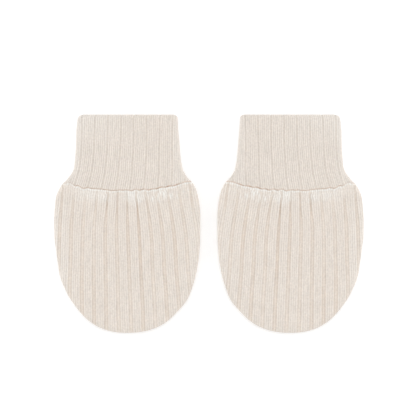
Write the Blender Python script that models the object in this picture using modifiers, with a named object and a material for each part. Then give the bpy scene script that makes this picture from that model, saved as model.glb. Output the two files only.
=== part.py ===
"""A pair of newborn mittens in cream rib knit, laid flat side by side with their panels on each other.

Each mitten is three sewn pieces: a front panel and a back panel, gathered at the wrist onto a cuff
that is folded double. The frame is +Z up, +X to the right and +Y towards the cuffs' folds, with the
origin under the middle of the pair, on the surface that it lies on.

One mitten is worked out in its own plane: x runs from its centre line towards the other mitten, and
y towards the cuff. The right mitten is the left one mirrored.
"""

import math
from collections import namedtuple

import bmesh
import bpy
from mathutils import Vector

MM = 0.001

# Driving dimensions
MITTEN_LENGTH = 120 * MM
BODY_WIDTH = 80 * MM
CUFF_WIDTH = 54.7 * MM  # at its fold
PAIR_SPACING = 89.3 * MM  # between the two centre lines
CLOTH = 1.5 * MM  # one layer of rib knit
CUFF_CLOTH = 2.2 * MM  # the cuff's two layers, pressed
SEWN_GAP = 0.3 * MM  # between two pieces at a seam

# The body's outline: two half superellipses that meet at its widest level
WIDEST_LEVEL = -1.2 * MM
TIP_LEVEL = -MITTEN_LENGTH / 2
TIP_POWER = 2.34
SHOULDER_REACH = 33.5 * MM
SHOULDER_POWER = 3.2
TIP_ARC_LEVEL = -52.7 * MM  # where the outline's sides hand over to its bottom arc
TIP_LEAN = 0.75 * MM  # how far the lower body bulges towards the other mitten

# The wrist seam sags towards the fingers, and its inner end is a little higher
SEAM_OUTER_LEVEL = 22.4 * MM
SEAM_INNER_LEVEL = 23.3 * MM
SEAM_SAG = 4.5 * MM

# The cuff widens slowly from its fold, and flares in its last few millimetres
CUFF_TOP = MITTEN_LENGTH / 2
CUFF_TAPER = 0.0625
CUFF_FLARE_REACH = 3.95 * MM
CUFF_CORNER = 2.0 * MM

# Heights above the surface, and the rounding of the rims
RIM_LEVEL = 2.3 * MM  # the seam that joins the front panel to the back panel
RIM_SKIRT = 0.4 * MM  # the upright last stretch of each rim
FRONT_ROUND = 3.0 * MM
BACK_ROUND = 2.3 * MM
RIM_STEPS = 4  # facets round a rim

BACK_COLUMNS = 8
BACK_ROWS = 10
CUFF_COLUMNS = 14
FOLD_STEPS = 8  # facets round the cuff's side fold

CREAM = (0.776, 0.708, 0.638, 1.0)
ROUGHNESS = 0.9

# The front panel's sections: distance below the wrist seam, and height above the surface. The seam
# allowance inside lifts the first few millimetres
Section = namedtuple("Section", "below height")
FRONT_SECTIONS = [
    Section(0.0 * MM, 4.5 * MM),
    Section(1.4 * MM, 5.1 * MM),
    Section(3.6 * MM, 5.7 * MM),
    Section(6.6 * MM, 5.7 * MM),
    Section(8.8 * MM, 5.2 * MM),
    Section(13.0 * MM, 4.9 * MM),
    Section(20.0 * MM, 4.8 * MM),
    Section(32.0 * MM, 4.8 * MM),
    Section(44.0 * MM, 4.7 * MM),
    Section(55.0 * MM, 4.6 * MM),
    Section(64.0 * MM, 4.5 * MM),
    Section(71.0 * MM, 4.4 * MM),
    Section(83.0 * MM, 4.3 * MM),
]

# The gathers of the front panel: place along the wrist seam from its middle, depth at the seam, and
# how far down the panel each one runs out
Gather = namedtuple("Gather", "place depth reach")
GATHERS = [
    Gather(-28.6 * MM, 0.40 * MM, 18 * MM),
    Gather(-22.5 * MM, 0.40 * MM, 20 * MM),
    Gather(-16.2 * MM, 0.45 * MM, 22 * MM),
    Gather(-10.4 * MM, 0.80 * MM, 28 * MM),
    Gather(-5.7 * MM, 0.50 * MM, 22 * MM),
    Gather(-0.9 * MM, 0.50 * MM, 22 * MM),
    Gather(5.0 * MM, 0.90 * MM, 34 * MM),
    Gather(9.9 * MM, 0.45 * MM, 22 * MM),
    Gather(15.4 * MM, 0.40 * MM, 20 * MM),
    Gather(21.5 * MM, 0.40 * MM, 18 * MM),
    Gather(28.4 * MM, 0.35 * MM, 16 * MM),
]

# The cuff's sections: share of the way from the wrist seam to the fold, and height of the flat tube
CuffSection = namedtuple("CuffSection", "share height")
CUFF_SECTIONS = [
    CuffSection(0.0, 4.9 * MM),
    CuffSection(0.03, 5.2 * MM),
    CuffSection(0.08, 5.2 * MM),
    CuffSection(0.15, 5.2 * MM),
    CuffSection(0.27, 5.2 * MM),
    CuffSection(0.50, 5.1 * MM),
    CuffSection(0.75, 5.0 * MM),
    CuffSection(0.945, 5.0 * MM),
    CuffSection(0.975, 5.0 * MM),
    CuffSection(0.992, 5.0 * MM),
    CuffSection(1.0, 5.0 * MM),
]


def mix(a, b, share):
    """The value or point that share of the way from a to b."""
    return a + (b - a) * share


def body_half_width(level):
    """Half the body's width at a level."""
    if level < WIDEST_LEVEL:
        reach, power = WIDEST_LEVEL - TIP_LEVEL, TIP_POWER
    else:
        reach, power = SHOULDER_REACH, SHOULDER_POWER
    along = min(1.0, abs(level - WIDEST_LEVEL) / reach)
    return BODY_WIDTH / 2 * (1 - along**power) ** (1 / power)


def tip_arc_level(x):
    """Level of the body's bottom outline at x."""
    across = min(1.0, abs(x) / (BODY_WIDTH / 2))
    return WIDEST_LEVEL - (WIDEST_LEVEL - TIP_LEVEL) * (1 - across**TIP_POWER) ** (1 / TIP_POWER)


def lean(level):
    """How far the body is shifted towards the other mitten at a level."""
    share = max(0.0, (WIDEST_LEVEL - level) / (WIDEST_LEVEL - TIP_LEVEL))
    return TIP_LEAN * math.sin(math.pi * share**2)


def cuff_half_width(level, seam_level):
    """Half the cuff's width at a level, flared to meet the body at seam_level, with rounded corners."""
    plain = CUFF_WIDTH / 2 + CUFF_TAPER * (CUFF_TOP - level)
    flare = body_half_width(seam_level) - (CUFF_WIDTH / 2 + CUFF_TAPER * (CUFF_TOP - seam_level))
    into_corner = min(CUFF_CORNER, max(0.0, level - (CUFF_TOP - CUFF_CORNER)))
    rounded_off = CUFF_CORNER - math.sqrt(CUFF_CORNER**2 - into_corner**2)
    return plain + flare * math.exp(-(level - seam_level) / CUFF_FLARE_REACH) - rounded_off


def wrist_seam(s):
    """Point of the wrist seam, s from -1 at its outer end to 1 at its inner end."""
    outer = Vector((-body_half_width(SEAM_OUTER_LEVEL), SEAM_OUTER_LEVEL))
    inner = Vector((body_half_width(SEAM_INNER_LEVEL), SEAM_INNER_LEVEL))
    return mix(outer, inner, (s + 1) / 2) - Vector((0, SEAM_SAG * (1 - s * s)))


def patch_point(near, far, side, s, t):
    """Point of a Coons patch with edges near(s) at t 0, far(s) at t 1 and side(sign, t) at s -1 and 1."""
    across = (s + 1) / 2
    corners = mix(mix(near(-1), near(1), across), mix(far(-1), far(1), across), t)
    return mix(near(s), far(s), t) + mix(side(-1, t), side(1, t), across) - corners


def seam_level(sign):
    """Level of the wrist seam's outer end, for sign -1, or of its inner end, for sign 1."""
    return SEAM_OUTER_LEVEL if sign < 0 else SEAM_INNER_LEVEL


def body_plan(s, t):
    """Point of a body panel seen from above, t from 0 at the wrist seam to 1 at the tip."""

    def side(sign, share):
        level = mix(seam_level(sign), TIP_ARC_LEVEL, share)
        return Vector((sign * body_half_width(level), level))

    def tip(across):
        x = across * body_half_width(TIP_ARC_LEVEL)
        return Vector((x, tip_arc_level(x)))

    point = patch_point(wrist_seam, tip, side, s, t)
    return point + Vector((lean(point.y), -SEWN_GAP / 2 * (1 - t)))


def cuff_plan(s, t):
    """Point of the cuff seen from above, t from 0 at the wrist seam to 1 at the fold."""

    def side(sign, share):
        level = mix(seam_level(sign), CUFF_TOP, share)
        return Vector((sign * cuff_half_width(level, seam_level(sign)), level))

    def fold(across):
        return Vector((across * cuff_half_width(CUFF_TOP, SEAM_INNER_LEVEL), CUFF_TOP))

    return patch_point(wrist_seam, fold, side, s, t) + Vector((0, SEWN_GAP / 2 * (1 - t)))


def panel_length():
    """Length of a body panel down its middle."""
    return wrist_seam(0).y - TIP_LEVEL


def rim_insets(reach):
    """Insets of the facets round a rim, from its edge inwards."""
    return [reach * (1 - math.cos(math.pi / 2 * step / RIM_STEPS)) for step in range(RIM_STEPS + 1)]


def panel_columns(inner_columns, reach):
    """Values of s for a panel's columns: those of its two rounded rims and those between."""
    rim = [1 - inset / (BODY_WIDTH / 2) for inset in rim_insets(reach)]
    return [-s for s in rim] + inner_columns + rim[::-1]


def panel_rows(distances, reach):
    """Values of t for a panel's rows, from distances below the seam, ending in a rounded rim."""
    rim = [panel_length() - inset for inset in rim_insets(reach)][::-1]
    return [below / panel_length() for below in [d for d in distances if d < rim[0]] + rim]


def rim_rise(s, t, reach):
    """How far a panel has risen over its rounded rim at s and t, from 0 at the edge to 1 inside."""

    def rounding(inset):
        return math.sqrt(1 - (1 - min(1.0, inset / reach)) ** 2)

    return rounding((1 - abs(s)) * BODY_WIDTH / 2) * rounding((1 - t) * panel_length())


def front_height(below):
    """Height of the front panel at a distance below the wrist seam, between two sections."""
    for upper, lower in zip(FRONT_SECTIONS, FRONT_SECTIONS[1:]):
        if below <= lower.below:
            return mix(upper.height, lower.height, (below - upper.below) / (lower.below - upper.below))
    return FRONT_SECTIONS[-1].height


def cloth_sheet(name, rows, skirt):
    """A panel's cloth from rows of points, the first one at the wrist seam.

    The rim of its sides and tip goes on upright by skirt, and the sheet is thickened inwards.
    """
    mesh = bmesh.new()
    verts = [[mesh.verts.new(point) for point in row] for row in rows]
    for row, following in zip(verts, verts[1:]):
        for i in range(len(row) - 1):
            mesh.faces.new((row[i], following[i], following[i + 1], row[i + 1]))
    seam = set(verts[0])
    rim = [edge for edge in mesh.edges if edge.is_boundary and not seam.issuperset(edge.verts)]
    made = bmesh.ops.extrude_edge_only(mesh, edges=rim)["geom"]
    end = [vert for vert in made if isinstance(vert, bmesh.types.BMVert)]
    bmesh.ops.translate(mesh, vec=(0, 0, skirt), verts=end)
    data = bpy.data.meshes.new(name)
    mesh.to_mesh(data)
    mesh.free()
    piece = bpy.data.objects.new(name, data)
    solidify = piece.modifiers.new("cloth", "SOLIDIFY")
    solidify.thickness = CLOTH
    solidify.offset = -1
    solidify.use_even_offset = True
    return piece


def front_panel(name):
    """Front body panel: gathered below the wrist seam, crowned, and rounded down at its rim."""
    half_seam = body_half_width(SEAM_OUTER_LEVEL)
    gathers = {gather.place / half_seam: gather for gather in GATHERS}
    folds = [-1 + FRONT_ROUND / half_seam, *gathers, 1 - FRONT_ROUND / half_seam]
    ridges = [mix(a, b, 0.5) for a, b in zip(folds, folds[1:])]
    edge = RIM_LEVEL + SEWN_GAP / 2 + RIM_SKIRT
    rows = []
    for t in panel_rows([section.below for section in FRONT_SECTIONS], FRONT_ROUND):
        below = t * panel_length()
        row = []
        for s in panel_columns(sorted([*gathers, *ridges]), FRONT_ROUND):
            height = mix(edge, front_height(below), rim_rise(s, t, FRONT_ROUND))
            if s in gathers:
                height -= gathers[s].depth * max(0.0, 1 - below / gathers[s].reach)
            row.append((*body_plan(s, t), height))
        rows.append(row)
    return cloth_sheet(name, rows, -RIM_SKIRT)


def back_panel(name):
    """Back body panel: flat on the surface, with its rim rounded up to meet the front panel."""
    columns = panel_columns([2 * i / BACK_COLUMNS - 1 for i in range(1, BACK_COLUMNS)], BACK_ROUND)
    edge = RIM_LEVEL - SEWN_GAP / 2 - RIM_SKIRT
    rows = []
    for t in panel_rows([panel_length() * row / BACK_ROWS for row in range(BACK_ROWS)], BACK_ROUND):
        rows.append([(*body_plan(s, t), edge * (1 - rim_rise(s, t, BACK_ROUND))) for s in columns[::-1]])
    return cloth_sheet(name, rows, RIM_SKIRT)


def cuff_ring(t, height, inset):
    """Ring of points round the flat tube of the cuff, at share t of its length, inset into its wall."""
    half = (cuff_plan(1, t).x - cuff_plan(-1, t).x) / 2
    straight = 1 - height / 2 / half
    radius = height / 2 - inset
    flat = [mix(-straight, straight, step / CUFF_COLUMNS) for step in range(CUFF_COLUMNS + 1)]
    turns = [math.pi / 2 - math.pi * step / FOLD_STEPS for step in range(1, FOLD_STEPS)]

    def place(s, rise):
        return (*cuff_plan(s, t), height / 2 + rise)

    top = [place(s, radius) for s in flat]
    inner = [place(straight + math.cos(a) * radius / half, math.sin(a) * radius) for a in turns]
    under = [place(s, -radius) for s in reversed(flat)]
    outer = [place(-straight - math.cos(a) * radius / half, -math.sin(a) * radius) for a in turns]
    return top + inner + under + outer


def cuff(name):
    """Cuff: a flattened tube of doubled rib knit, open at its fold and at the wrist."""
    mesh = bmesh.new()
    outer, inner = (
        [[mesh.verts.new(point) for point in cuff_ring(t, height, inset)] for t, height in CUFF_SECTIONS]
        for inset in (0.0, CUFF_CLOTH)
    )
    bands = [*zip(outer, outer[1:]), *zip(inner[1:], inner), (inner[0], outer[0]), (outer[-1], inner[-1])]
    for ring, following in bands:
        for i, vert in enumerate(ring):
            j = (i + 1) % len(ring)
            mesh.faces.new((vert, ring[j], following[j], following[i]))
    data = bpy.data.meshes.new(name)
    mesh.to_mesh(data)
    mesh.free()
    return bpy.data.objects.new(name, data)


def cream_knit():
    """Matt cream cotton."""
    material = bpy.data.materials.new("cream_knit")
    material.use_nodes = True
    shader = material.node_tree.nodes["Principled BSDF"]
    shader.inputs["Base Color"].default_value = CREAM
    shader.inputs["Roughness"].default_value = ROUGHNESS
    shader.inputs["Metallic"].default_value = 0.0
    return material


def place_on_side(piece, side):
    """Moves a piece to its mitten's centre line, mirrored for the right mitten, side -1."""
    mesh = bmesh.new()
    mesh.from_mesh(piece.data)
    for vert in mesh.verts:
        vert.co.x = side * (vert.co.x - PAIR_SPACING / 2)
    if side < 0:
        bmesh.ops.reverse_faces(mesh, faces=mesh.faces)
    mesh.to_mesh(piece.data)
    mesh.free()


def main():
    for leftover in list(bpy.data.objects):
        bpy.data.objects.remove(leftover)
    collection = bpy.data.collections.new("baby_mittens")
    bpy.context.scene.collection.children.link(collection)
    material = cream_knit()
    makers = {"front_panel": front_panel, "back_panel": back_panel, "cuff": cuff}
    for hand, side in (("left", 1), ("right", -1)):
        for piece_name, make in makers.items():
            piece = make(f"{hand}_{piece_name}")
            place_on_side(piece, side)
            piece.data.materials.append(material)
            piece.data.shade_smooth()
            collection.objects.link(piece)


main()
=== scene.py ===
"""A pair of newborn mittens in cream rib knit, laid flat on a white table and seen from above.

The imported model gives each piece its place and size. Every panel and cuff is made again here as a thin
closed skin on the form of its solid, fine enough to carry the knit: Geometry Nodes sink the grooves of
the rib and raise its wales, and the material adds the single stitches.

One mitten is worked out in its own plane: x runs from its centre line towards the other mitten, and y
towards the cuff. The right mitten is the left one mirrored.
"""

from __future__ import annotations

import logging
import math
from dataclasses import dataclass
from enum import Enum

import bpy
import numpy as np
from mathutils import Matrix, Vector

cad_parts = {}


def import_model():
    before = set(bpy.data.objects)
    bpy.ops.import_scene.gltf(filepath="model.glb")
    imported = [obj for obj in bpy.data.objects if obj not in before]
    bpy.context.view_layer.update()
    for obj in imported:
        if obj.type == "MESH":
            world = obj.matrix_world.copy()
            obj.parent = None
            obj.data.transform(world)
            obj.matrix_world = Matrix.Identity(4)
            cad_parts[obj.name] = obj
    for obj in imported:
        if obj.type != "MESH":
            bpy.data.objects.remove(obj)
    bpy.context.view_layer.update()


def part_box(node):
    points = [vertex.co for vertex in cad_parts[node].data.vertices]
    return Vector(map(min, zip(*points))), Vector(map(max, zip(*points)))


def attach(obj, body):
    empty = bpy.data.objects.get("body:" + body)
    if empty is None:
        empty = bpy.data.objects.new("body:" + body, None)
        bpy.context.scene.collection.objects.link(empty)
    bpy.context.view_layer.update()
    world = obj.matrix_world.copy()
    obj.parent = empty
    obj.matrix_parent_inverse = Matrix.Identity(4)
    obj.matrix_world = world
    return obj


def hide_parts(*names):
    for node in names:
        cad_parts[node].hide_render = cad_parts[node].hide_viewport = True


LOG = logging.getLogger("mittens")
MM = 0.001
TURN = 2.0 * math.pi
TINY = 1e-9  # keeps a division by nothing from failing
BODY = "root"
OUTER, INNER = -1, 1  # a mitten's two sides: the outer one, and the one beside the other mitten


class Hand(Enum):
    """A mitten of the pair, with its word in node names and its side."""

    LEFT = ("left", 1)
    RIGHT = ("right", -1)

    @property
    def word(self) -> str:
        """The hand's word in node names."""
        return self.value[0]

    @property
    def side(self) -> int:
        """1 for the mitten whose plane is the table's, -1 for the mirrored one."""
        return self.value[1]


class Face(Enum):
    """A body panel's face, with the direction that it looks in along Z."""

    FRONT = ("front_panel", 1)
    BACK = ("back_panel", -1)

    @property
    def word(self) -> str:
        """The panel's word in node names."""
        return self.value[0]

    @property
    def up(self) -> int:
        """1 for the panel that looks up, -1 for the one on the table."""
        return self.value[1]


def ease(value: np.ndarray | float, low: float, high: float) -> np.ndarray:
    """A smooth step.

    Args:
        value: Where to read the step.
        low: Where it starts, at 0.
        high: Where it ends, at 1.

    Returns:
        The step's height at each value.
    """
    share = np.clip((np.asarray(value, float) - low) / (high - low), 0.0, 1.0)
    return share * share * (3.0 - 2.0 * share)


def quarter_round(distance: np.ndarray | float, reach: float) -> np.ndarray:
    """The rise of a rounded edge.

    Args:
        distance: How far inside the edge.
        reach: How far in the rounding goes.

    Returns:
        The rise, from 0 at the edge to 1 from reach on.
    """
    return np.sqrt(1.0 - (1.0 - np.clip(np.asarray(distance, float) / reach, 0.0, 1.0)) ** 2)


def graded(
    length: float,
    pitch: float,
    start: tuple[float, float],
    end: tuple[float, float],
    samples: int = 4001,
) -> np.ndarray:
    """Distances along a strip, closer together near its two ends.

    Args:
        length: The strip's length.
        pitch: The spacing in the middle.
        start: How long the close stretch at the start is, and the spacing where it begins.
        end: The same at the end.
        samples: In how many places the spacing is worked out.

    Returns:
        The distances, from 0 to length.
    """
    fine = np.linspace(0.0, length, samples)
    spacing = np.full(samples, pitch)
    for (reach, close), away in ((start, fine), (end, length - fine)):
        spacing = np.minimum(spacing, pitch - (pitch - close) * (1.0 - ease(away, 0.0, reach)))
    steps = np.concatenate([[0.0], np.cumsum(1.0 / spacing[:-1])]) * (fine[1] - fine[0])
    count = max(2, int(round(steps[-1])))
    return np.interp(np.linspace(0.0, steps[-1], count + 1), steps, fine)


@dataclass(frozen=True)
class SoftNoise:
    """A smooth field of a few long waves, between about -1 and 1."""

    seed: int
    wavelength: float
    waves: int = 7
    stretch: tuple[float, float] = (0.7, 1.5)  # shortest and longest wave, as shares of the wavelength

    def at(self, x: np.ndarray, y: np.ndarray) -> np.ndarray:
        """The field at points of the mitten's plane.

        Args:
            x: Places across.
            y: Levels.

        Returns:
            The field's value at each point.
        """
        rng = np.random.default_rng(self.seed)
        total = np.zeros(np.broadcast(x, y).shape)
        for _ in range(self.waves):
            angle, phase = rng.uniform(0.0, TURN, 2)
            number = TURN / (self.wavelength * rng.uniform(*self.stretch))
            total = total + np.sin(number * (x * math.cos(angle) + y * math.sin(angle)) + phase)
        return total / math.sqrt(self.waves)

    def along(self, x: np.ndarray) -> np.ndarray:
        """The field's value at places along one line across."""
        return self.at(x, np.zeros_like(x))


# --------------------------------------------------------------------------------------------------
# The cut of a mitten, seen from above


@dataclass(frozen=True)
class Swell:
    """A stretch of a side that stands out a little more, or less, than its plain curve."""

    side: int
    level: float
    shift: float
    reach: float


def swelled(swells: tuple[Swell, ...], side: int, level: np.ndarray | float) -> np.ndarray:
    """How far a side's swells move it outwards at each level.

    Args:
        swells: The swells of both sides.
        side: OUTER or INNER.
        level: The levels.

    Returns:
        The distance outwards.
    """
    level = np.asarray(level, float)
    shift = np.zeros(level.shape)
    for swell in swells:
        if swell.side == side:
            shift = shift + swell.shift * np.exp(-(((level - swell.level) / swell.reach) ** 2))
    return shift


BODY_SWELLS = (
    Swell(OUTER, 16.0 * MM, 0.50 * MM, 5.0 * MM),
    Swell(OUTER, 1.0 * MM, 0.50 * MM, 10.5 * MM),
    Swell(OUTER, -8.5 * MM, 0.20 * MM, 3.0 * MM),
    Swell(OUTER, -30.5 * MM, 0.85 * MM, 7.5 * MM),
    Swell(OUTER, -40.0 * MM, 0.38 * MM, 3.5 * MM),
    Swell(INNER, 23.0 * MM, 0.45 * MM, 5.0 * MM),
    Swell(INNER, -41.5 * MM, 0.38 * MM, 4.0 * MM),
    Swell(INNER, -49.0 * MM, -0.45 * MM, 4.0 * MM),
)
CUFF_SWELLS = (
    Swell(OUTER, 51.5 * MM, 0.33 * MM, 6.5 * MM),
    Swell(OUTER, 36.0 * MM, -0.12 * MM, 7.0 * MM),
    Swell(OUTER, 30.8 * MM, -0.30 * MM, 2.8 * MM),
    Swell(INNER, 38.0 * MM, 0.17 * MM, 14.0 * MM),
)


@dataclass(frozen=True)
class BodyOutline:
    """The egg-shaped outline of the body: two half superellipses that meet at its widest level."""

    half_width: float
    tip: float
    swells: tuple[Swell, ...] = BODY_SWELLS
    widest: float = -1.2 * MM
    tip_power: float = 2.34
    shoulder_reach: float = 33.5 * MM
    shoulder_power: float = 3.2
    lean: float = 0.75 * MM
    hand_over: float = -30.0 * MM  # where the sides end and the arc round the tip begins
    swell_blend: float = 0.6  # share of the half width over which a side's swells take hold
    least_half: float = 1.0 * MM  # half width that the blend counts with at the very tip
    least_slope: float = 0.5  # of the outline's measure, as a share of its slope at the widest level

    def _half(self, level: np.ndarray) -> tuple[np.ndarray, np.ndarray]:
        """The half of the outline that each level is in.

        Args:
            level: The levels.

        Returns:
            The half's reach along Y, and its power.
        """
        lower = level < self.widest
        reach = np.where(lower, self.widest - self.tip, self.shoulder_reach)
        return reach, np.where(lower, self.tip_power, self.shoulder_power)

    def half_at(self, level: np.ndarray | float) -> np.ndarray:
        """The body's plain curve.

        Args:
            level: The levels.

        Returns:
            Half the body's width at each level, without its swells.
        """
        level = np.asarray(level, float)
        reach, power = self._half(level)
        along = np.clip(np.abs(level - self.widest) / reach, 0.0, 1.0)
        return self.half_width * (1.0 - along**power) ** (1.0 / power)

    def side_at(self, side: int, level: np.ndarray | float) -> np.ndarray:
        """X of a side, OUTER or INNER, at each level."""
        return side * (self.half_at(level) + swelled(self.swells, side, level))

    def tip_arc(self, x: np.ndarray) -> np.ndarray:
        """The arc round the tip.

        Args:
            x: Places on the plain curve.

        Returns:
            The arc's points.
        """
        level = self.tip_level(x)
        outer, inner = (swelled(self.swells, side, level) for side in (OUTER, INNER))
        return np.stack([x + np.sign(x) * np.where(x < 0.0, outer, inner), level], -1)

    def tip_level(self, x: np.ndarray) -> np.ndarray:
        """The bottom of the plain curve.

        Args:
            x: Places across.

        Returns:
            The curve's level at each of them.
        """
        across = np.clip(np.abs(x) / self.half_width, 0.0, 1.0)
        reach = self.widest - self.tip
        return self.widest - reach * (1.0 - across**self.tip_power) ** (1.0 / self.tip_power)

    def lean_at(self, level: np.ndarray) -> np.ndarray:
        """How far the body is shifted towards the other mitten at each level."""
        share = np.clip((self.widest - level) / (self.widest - self.tip), 0.0, 1.0)
        return self.lean * np.sin(math.pi * share**2)

    def edge(self, x: np.ndarray, y: np.ndarray) -> tuple[np.ndarray, np.ndarray]:
        """Nearness to the outline.

        Args:
            x: Places across, with the lean.
            y: Levels.

        Returns:
            The distance inside the outline, which is true near it, and the unit direction outwards.
        """
        reach, power = self._half(y)
        x = x - self.lean_at(y)
        for side in (OUTER, INNER):
            share = side * x / np.maximum(self.half_at(y), self.least_half)
            x = x - side * ease(share, 0.0, self.swell_blend) * swelled(self.swells, side, y)
        across = np.abs(x) / self.half_width
        along = np.abs(y - self.widest) / reach
        radius = np.maximum(across**power + along**power, TINY) ** (1.0 / power)
        slope_x = radius ** (1.0 - power) * across ** (power - 1.0) / self.half_width * np.sign(x)
        slope_y = radius ** (1.0 - power) * along ** (power - 1.0) / reach * np.sign(y - self.widest)
        slope = np.hypot(slope_x, slope_y)
        outward = np.stack([slope_x, slope_y], -1) / np.maximum(slope, TINY)[..., None]
        slope = np.maximum(slope, self.least_slope / self.half_width)
        return np.maximum(0.0, (1.0 - radius) / slope), outward


@dataclass(frozen=True)
class WristSeam:
    """The line where the body is gathered onto the cuff. It sags in the middle, and waves a little."""

    outline: BodyOutline
    inner_level: float
    inner_rise: float = 0.9 * MM
    sag: float = 4.5 * MM
    gap: float = 0.03 * MM
    gap_reach: float = 2.0 * MM
    wave: float = 0.15 * MM
    wave_noise: SoftNoise = SoftNoise(11, 2.9 * MM)
    wave_reach: float = 2.2 * MM  # how far from the seam its waves go
    step_reach: float = 2.5  # the same for its larger waves, in their own widths
    slack: float = 0.56  # how tightly it is drawn at the outer side, as a share
    drawn_from: tuple[float, float] = (4.0 * MM, 18.0 * MM)  # where it tightens towards the inner side
    loose_ends: tuple[float, float] = (0.80, 0.45)  # how much of that is lost at its outer and inner end
    outer_loose: tuple[float, float] = (28.0 * MM, 31.5 * MM)  # where it loosens, outwards from the middle
    inner_loose: tuple[float, float] = (27.0 * MM, 32.0 * MM)
    break_share: float = 0.60  # how much of it is lost where a stitch is skipped
    break_width: float = 0.9 * MM
    usual_pull: float = 0.88
    uneven_pull: float = 0.16
    pull_noise: SoftNoise = SoftNoise(19, 2.4 * MM)
    pull_limits: tuple[float, float] = (0.5, 1.2)
    # least strength of the painted shade in the seam's crease
    least_crease_shade: float = 0.45

    STEPS = (
        (-31.6 * MM, 1.10 * MM, 1.9 * MM),
        (-26.9 * MM, 0.35 * MM, 1.2 * MM),
        (-24.2 * MM, -0.55 * MM, 1.9 * MM),
        (-17.0 * MM, -0.30 * MM, 1.6 * MM),
        (-14.5 * MM, 0.35 * MM, 4.0 * MM),
        (-12.9 * MM, -0.45 * MM, 1.1 * MM),
        (-8.6 * MM, -0.42 * MM, 1.2 * MM),
        (-1.4 * MM, 0.36 * MM, 1.1 * MM),
        (4.2 * MM, 0.40 * MM, 1.2 * MM),
        (12.5 * MM, -0.20 * MM, 3.0 * MM),
        (31.0 * MM, 0.60 * MM, 2.4 * MM),
    )  # place, shift and width of the seam's larger waves
    BREAKS = (
        *(-25.6, -20.9, -16.8, -12.9, -9.0, -5.6, -1.7),
        *(4.0, 10.1, 14.8, 19.7, 25.0, 29.6),
    )  # places of the skipped stitches, in mm

    @property
    def outer_level(self) -> float:
        """Level of the seam's outer end."""
        return self.inner_level - self.inner_rise

    def level_at_end(self, side: int) -> float:
        """Level of the seam's end on a side, OUTER or INNER."""
        return self.outer_level if side == OUTER else self.inner_level

    def point(self, s: np.ndarray) -> np.ndarray:
        """Points of the seam.

        Args:
            s: Shares across, from -1 at its outer end to 1 at its inner end.

        Returns:
            The points, with one more axis than s.
        """
        share = (s + 1.0) / 2.0
        outer_x = self.outline.side_at(OUTER, self.outer_level)
        x = outer_x + (self.outline.side_at(INNER, self.inner_level) - outer_x) * share
        level = self.outer_level + self.inner_rise * share - self.sag * (1.0 - s * s)
        return np.stack([x, level], -1)

    def level_at(self, x: np.ndarray) -> np.ndarray:
        """The seam's height up the mitten.

        Args:
            x: Places across.

        Returns:
            The seam's level at each of them.
        """
        outer_x = self.outline.side_at(OUTER, self.outer_level)
        s = 2.0 * (x - outer_x) / (self.outline.side_at(INNER, self.inner_level) - outer_x) - 1.0
        return self.point(np.clip(s, -1.0, 1.0))[..., 1]

    def loose_at(self, x: np.ndarray) -> np.ndarray:
        """How much looser the seam is near its ends, as a share."""
        outer, inner = self.loose_ends
        return outer * ease(-x, *self.outer_loose) + inner * ease(x, *self.inner_loose)

    def crease_shade_at(self, x: np.ndarray) -> np.ndarray:
        """How strongly the painted shade of the wrist seam's crease shows at each x."""
        return np.maximum(self.pull_at(x), self.least_crease_shade * (1.0 - self.loose_at(x)))

    def pull_at(self, x: np.ndarray) -> np.ndarray:
        """How tightly the seam is drawn.

        Args:
            x: Places across.

        Returns:
            The pull at each of them, as a share of the tightest.
        """
        drawn = self.slack + (1.0 - self.slack) * ease(x, *self.drawn_from)
        drawn = drawn * (1.0 - self.loose_at(x))
        for place in self.BREAKS:
            drawn = drawn * (1.0 - self.break_share * np.exp(-(((x - place * MM) / self.break_width) ** 2)))
        uneven = self.usual_pull + self.uneven_pull * self.pull_noise.along(x)
        return drawn * np.clip(uneven, *self.pull_limits)

    def wave_at(self, x: np.ndarray, away: np.ndarray) -> np.ndarray:
        """How far the cloth beside the seam is shifted along Y.

        Args:
            x: Places across.
            away: Distances from the seam.

        Returns:
            The shift at each of them.
        """
        wave = self.wave * self.wave_noise.along(x)
        wave = wave * np.exp(-((away / self.wave_reach) ** 2))
        for place, shift, width in self.STEPS:
            fading = np.exp(-((away / (self.step_reach * width)) ** 2))
            wave = wave + shift * np.exp(-(((x - place) / width) ** 2)) * fading
        return wave

    def parting_at(self, away: np.ndarray) -> np.ndarray:
        """How far the cloth on each side draws back from the seam, by its distance away."""
        return self.gap / 2 * (1.0 - ease(away, 0.0, self.gap_reach))


def coons(
    near: np.ndarray,
    far: np.ndarray,
    outer: np.ndarray,
    inner: np.ndarray,
    corners: tuple[np.ndarray, np.ndarray],
    s: np.ndarray,
    t: np.ndarray,
) -> np.ndarray:
    """A patch between four edges.

    Args:
        near: Points of the edge at t 0, for each s.
        far: Points of the edge at t 1, for each s.
        outer: Points of the edge at s -1, for each t.
        inner: Points of the edge at s 1, for each t.
        corners: The near edge's two ends, and the far edge's.
        s: Shares across, from -1 to 1, the same for all rows or in one row for each t.
        t: Shares along, from 0 to 1.

    Returns:
        Points, one row for each t and one column for each s.
    """
    across = ((s + 1.0) / 2.0)[..., None]
    along = t[:, None, None]
    ends = near * (1.0 - along) + far * along
    sides = outer[:, None] * (1.0 - across) + inner[:, None] * across
    first, last = (pair[0] * (1.0 - across) + pair[1] * across for pair in corners)
    return ends + sides - (first * (1.0 - along) + last * along)


# --------------------------------------------------------------------------------------------------
# The lie of the ribs


@dataclass(frozen=True)
class Groove:
    """One groove of the body's rib, counted from the middle: how strong it is at four levels."""

    number: int
    band: float  # over the seam allowance
    start: float  # just below it
    upper: float  # on the upper body
    lower: float  # towards the tip
    gather: float = 0.0  # depth of the gather that runs into it from the seam
    reach: float = 14.0 * MM  # how far down the gather runs out


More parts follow.
